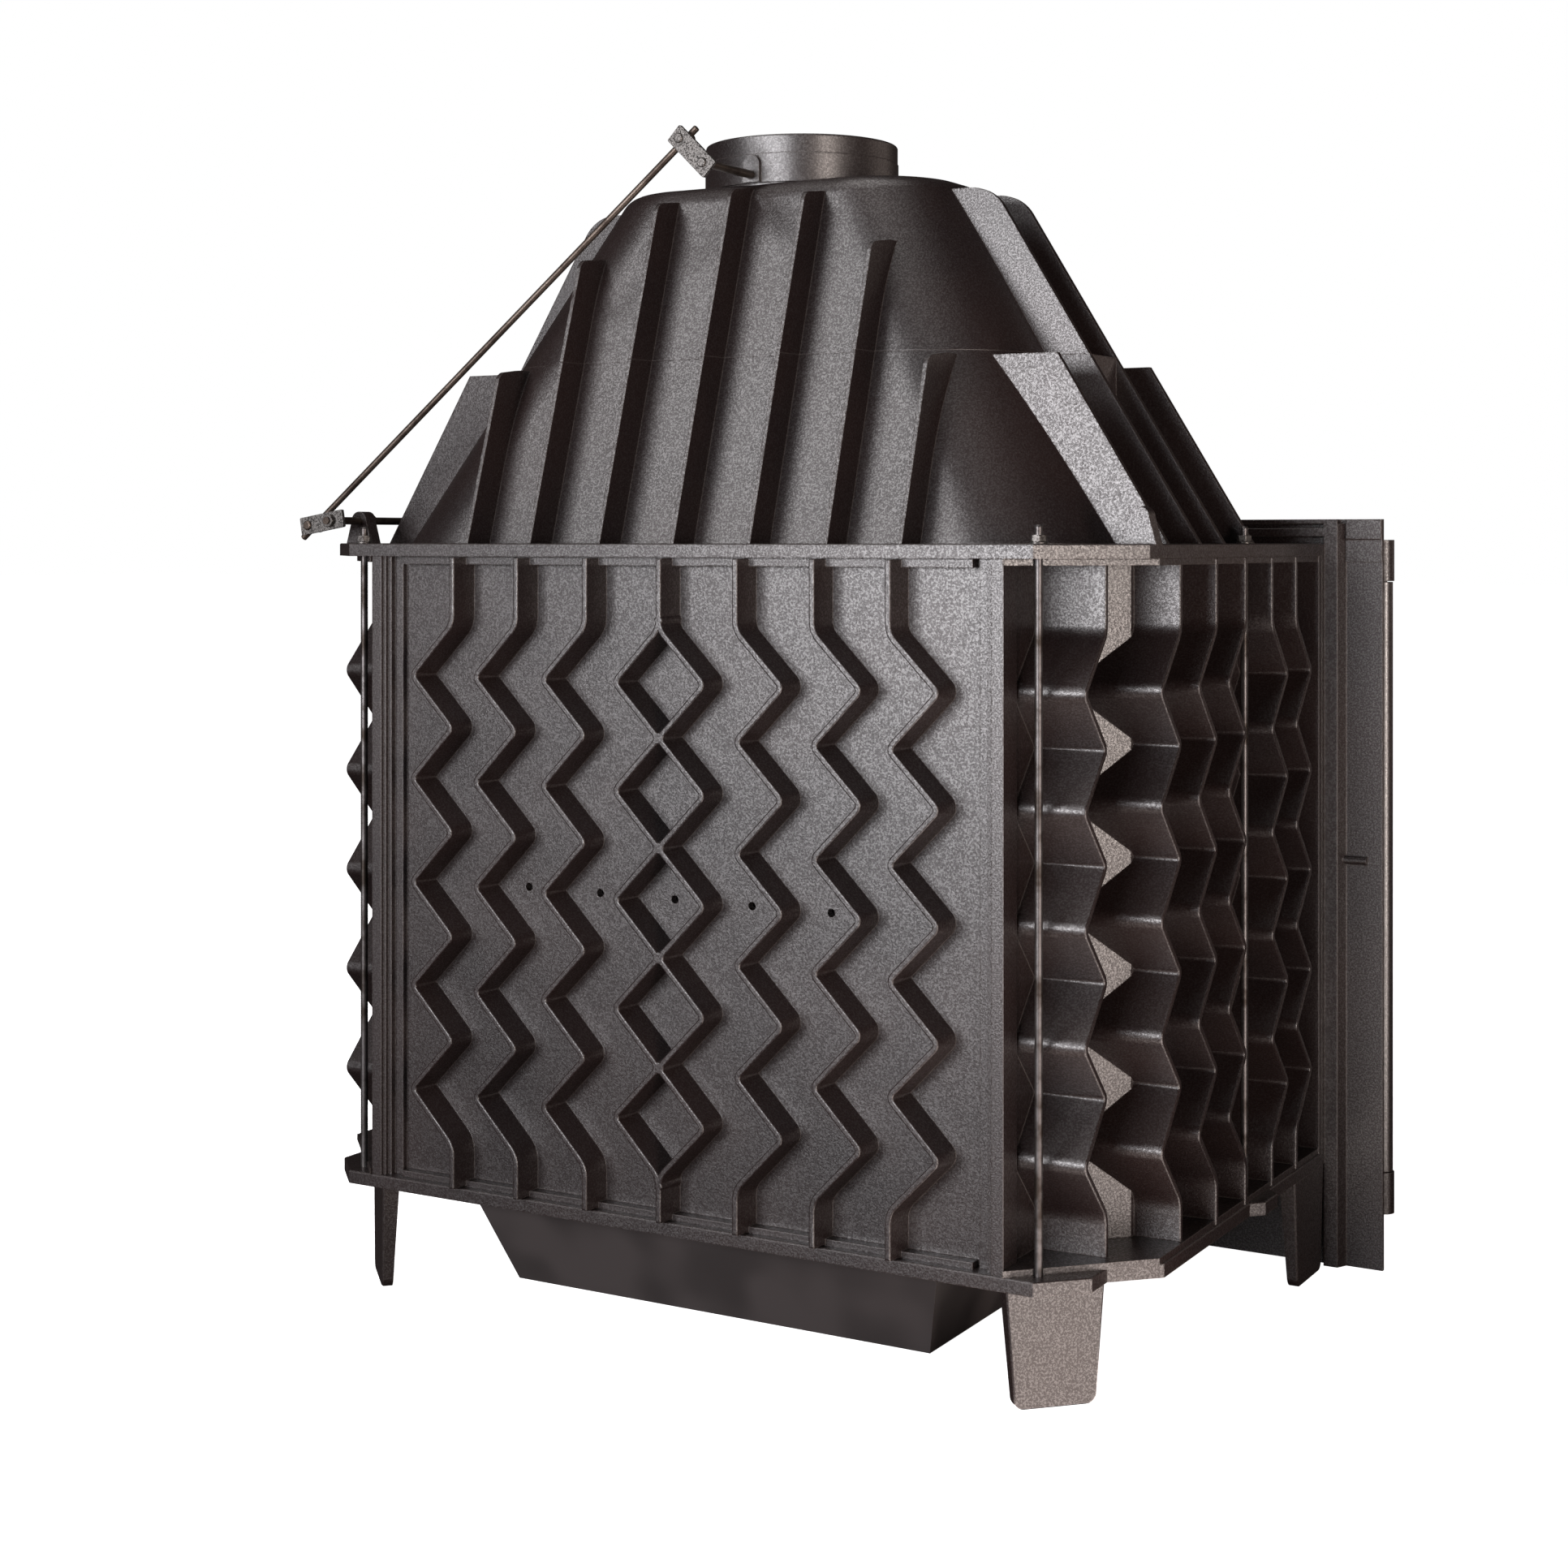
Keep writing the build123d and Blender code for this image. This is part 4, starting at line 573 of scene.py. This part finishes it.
@dataclass
class Gasket:
    """A braided seal that runs round a rectangle and fills the space of a CAD node."""

    name: str
    node: str
    width: float
    corner: float
    plait: float
    swell: float = 0.12
    sides: int = 14
    arc_steps: int = 12

    def path(self) -> tuple[list[tuple[Vector, Vector]], float]:
        """The line of the seal.

        Returns:
            Points with the direction outward from the middle, and half the depth.
        """
        low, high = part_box(self.node)
        middle, half = (low.y + high.y) / 2, (high.y - low.y) / 2
        inset = self.width / 2
        x, r = high.x - inset, self.corner
        z0, z1 = low.z + inset, high.z - inset
        spots = []
        turns = ((x - r, z1 - r, 0), (-x + r, z1 - r, 90), (-x + r, z0 + r, 180), (x - r, z0 + r, 270))
        for cx, cz, begin in turns:
            for i in range(self.arc_steps + 1):
                angle = math.radians(begin + 90 * i / self.arc_steps)
                out = Vector((math.cos(angle), 0.0, math.sin(angle)))
                spots.append((Vector((cx, middle, cz)) + r * out, out))
        return self.spaced(spots), half

    def spaced(self, spots: list[tuple[Vector, Vector]]) -> list[tuple[Vector, Vector]]:
        """The line's points with the straight runs filled in.

        Args:
            spots: the points of the rounded corners.

        Returns:
            Points no further apart than a third of a plait.
        """
        filled = []
        for (a, out_a), (b, out_b) in zip(spots, spots[1:] + spots[:1]):
            count = max(1, math.ceil((b - a).length / (self.plait / 3)))
            for i in range(count):
                share = i / count
                out = out_a.lerp(out_b, share).normalized()
                filled.append((a.lerp(b, share), out))
        return filled

    def build(self, material: bpy.types.Material) -> None:
        """Build the seal.

        Args:
            material: its finish.
        """
        spots, half = self.path()
        across = self.width / 2
        points, faces = [], []
        run = 0.0
        for i, (spot, out) in enumerate(spots):
            run += (spot - spots[i - 1][0]).length if i else 0.0
            for side in range(self.sides):
                angle = math.tau * side / self.sides
                turn = math.tau * run / self.plait
                weave = max(math.sin(2 * angle + turn), math.sin(2 * angle - turn))
                size = 1 - self.swell * (1 - weave) / 2
                out_by = across * size * math.cos(angle)
                deep = half * size * math.sin(angle)
                points.append(spot + out * out_by + Vector((0.0, deep, 0.0)))
        count = len(spots)
        for i in range(count):
            for side in range(self.sides):
                after = (side + 1) % self.sides
                here, there = i * self.sides, (i + 1) % count * self.sides
                faces.append((here + side, there + side, there + after, here + after))
        piece = new_piece(self.name, points, faces, material)
        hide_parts(self.node)
        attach(piece, "door")


@dataclass
class DoorSoftParts:
    """The door's glass and its two seals."""

    def build(self) -> None:
        """Dress the glass and plait the seals."""
        dress(CeramicGlass().material(), "door_glass")
        rope = WovenGlass().material()
        Gasket("door_rope", "door_seal", 0.0078, 0.02, 0.009).build(rope)
        Gasket("glass_tape", "glass_seal", 0.0097, 0.006, 0.006, 0.06).build(rope)


@dataclass(frozen=True)
class Softbox:
    """One soft light: its place, what it faces, its size, power in watts and tint."""

    name: str
    place: Point
    aim: Point
    size: tuple[float, float]
    power: float
    colour: Colour

    def hang(self) -> None:
        """Put the light into the scene, unseen by the camera itself."""
        data = bpy.data.lights.new(self.name, "AREA")
        data.shape = "RECTANGLE"
        data.size, data.size_y = self.size
        data.energy = self.power
        data.color = self.colour
        light = bpy.data.objects.new(self.name, data)
        light.location = self.place
        facing = Vector(self.aim) - Vector(self.place)
        light.rotation_euler = facing.to_track_quat("-Z", "Y").to_euler()
        light.visible_camera = False
        bpy.context.scene.collection.objects.link(light)


MIDDLE = (0.0, 0.0, 0.6)


@dataclass
class Studio:
    """The camera, the lights and the pale floor."""

    eye: Vector
    turn: float = -150.083
    lens: float = 56.23
    rise: float = -0.1554
    floor_reach: float = 40.0
    softboxes: tuple[Softbox, ...] = (
        Softbox("back_light", (0.65, 4.4, 1.05), MIDDLE, (3.0, 1.6), 272.0, (1.0, 0.975, 1.0)),
        Softbox("high_light", (2.0, 3.4, 3.4), MIDDLE, (2.0, 1.6), 82.0, (1.0, 0.97, 0.98)),
        Softbox("side_light", (-4.2, 2.6, 0.75), MIDDLE, (0.9, 1.4), 136.0, (1.0, 0.87, 0.8)),
        Softbox(
            "floor_card", (-1.45, 0.8, 0.001), (-1.45, 0.8, 3.0), (2.2, 1.3), 36.0, (1.0, 0.86, 0.8)
        ),
        Softbox(
            "far_card", (-3.3, 1.9, 0.01), (-3.3, 1.9, 3.0), (1.7, 1.6), 112.0, (1.0, 0.87, 0.8)
        ),
        Softbox("top_light", (0.2, 0.6, 4.2), MIDDLE, (2.4, 2.4), 45.0, (1.0, 0.95, 0.93)),
        Softbox("front_light", (-3.4, -3.3, 1.5), MIDDLE, (3.4, 1.8), 12.0, (1.0, 0.82, 0.73)),
    )

    def camera(self) -> None:
        """Place the camera where the photograph was taken from."""
        data = bpy.data.cameras.new("camera")
        data.sensor_fit = "HORIZONTAL"
        data.sensor_width = 36.0
        data.lens = self.lens
        data.shift_y = self.rise
        data.clip_end = 100.0
        camera = bpy.data.objects.new("camera", data)
        camera.location = self.eye
        camera.rotation_euler = (math.pi / 2, 0.0, math.radians(self.turn))
        bpy.context.scene.collection.objects.link(camera)
        bpy.context.scene.camera = camera

    def lights(self) -> None:
        """Hang the lights."""
        for light in self.softboxes:
            light.hang()

    def world(self) -> None:
        """A pale surround that lights softly and shows white."""
        world = bpy.data.worlds.new("surround")
        world.use_nodes = True
        nodes, links = world.node_tree.nodes, world.node_tree.links
        nodes.clear()
        seen = nodes.new("ShaderNodeBackground")
        seen.inputs["Color"].default_value = opaque((1.0, 1.0, 1.0))
        lit = nodes.new("ShaderNodeBackground")
        lit.inputs["Color"].default_value = opaque((1.0, 0.8, 0.76))
        lit.inputs["Strength"].default_value = 0.03
        ray = nodes.new("ShaderNodeLightPath")
        blend = nodes.new("ShaderNodeMixShader")
        out = nodes.new("ShaderNodeOutputWorld")
        links.new(ray.outputs["Is Camera Ray"], blend.inputs[0])
        links.new(lit.outputs[0], blend.inputs[1])
        links.new(seen.outputs[0], blend.inputs[2])
        links.new(blend.outputs[0], out.inputs[0])
        bpy.context.scene.world = world

    def floor(self) -> None:
        """Lay the pale floor."""
        corners = [Vector((x, y, 0.0)) for x, y in ((-1, -1), (1, -1), (1, 1), (-1, 1))]
        s = Surface("pale_floor")
        tone = s.noise(3.0, 1.0, 0.5)
        paper = s.mix(tone, opaque((0.93, 0.93, 0.93)), opaque((0.96, 0.96, 0.96)))
        glow = opaque((1.0, 1.0, 1.0))
        material = s.finish(
            Base_Color=paper, Roughness=0.9, Emission_Color=glow, Emission_Strength=1.0
        )
        floor = new_piece("floor", [self.floor_reach * c for c in corners], [(0, 1, 2, 3)], material)
        floor.visible_glossy = False
        floor.visible_diffuse = False

    def build(self) -> None:
        """Set up the whole studio."""
        self.camera()
        self.lights()
        self.world()
        self.floor()
        bpy.context.scene.view_settings.view_transform = "Standard"


def main() -> None:
    """Build and dress the insert, then set up the studio."""
    logging.basicConfig(level=logging.INFO, format="%(name)s: %(message)s")
    for part in (Castings(), SheetParts(), Fittings(), TieRods(), DoorSoftParts()):
        part.build()
        log.info("finished %s", type(part).__name__)
    Studio(Vector((-1.2595, 2.2844, 0.7702))).build()


if __name__ == "__main__":
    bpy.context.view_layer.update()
    main()
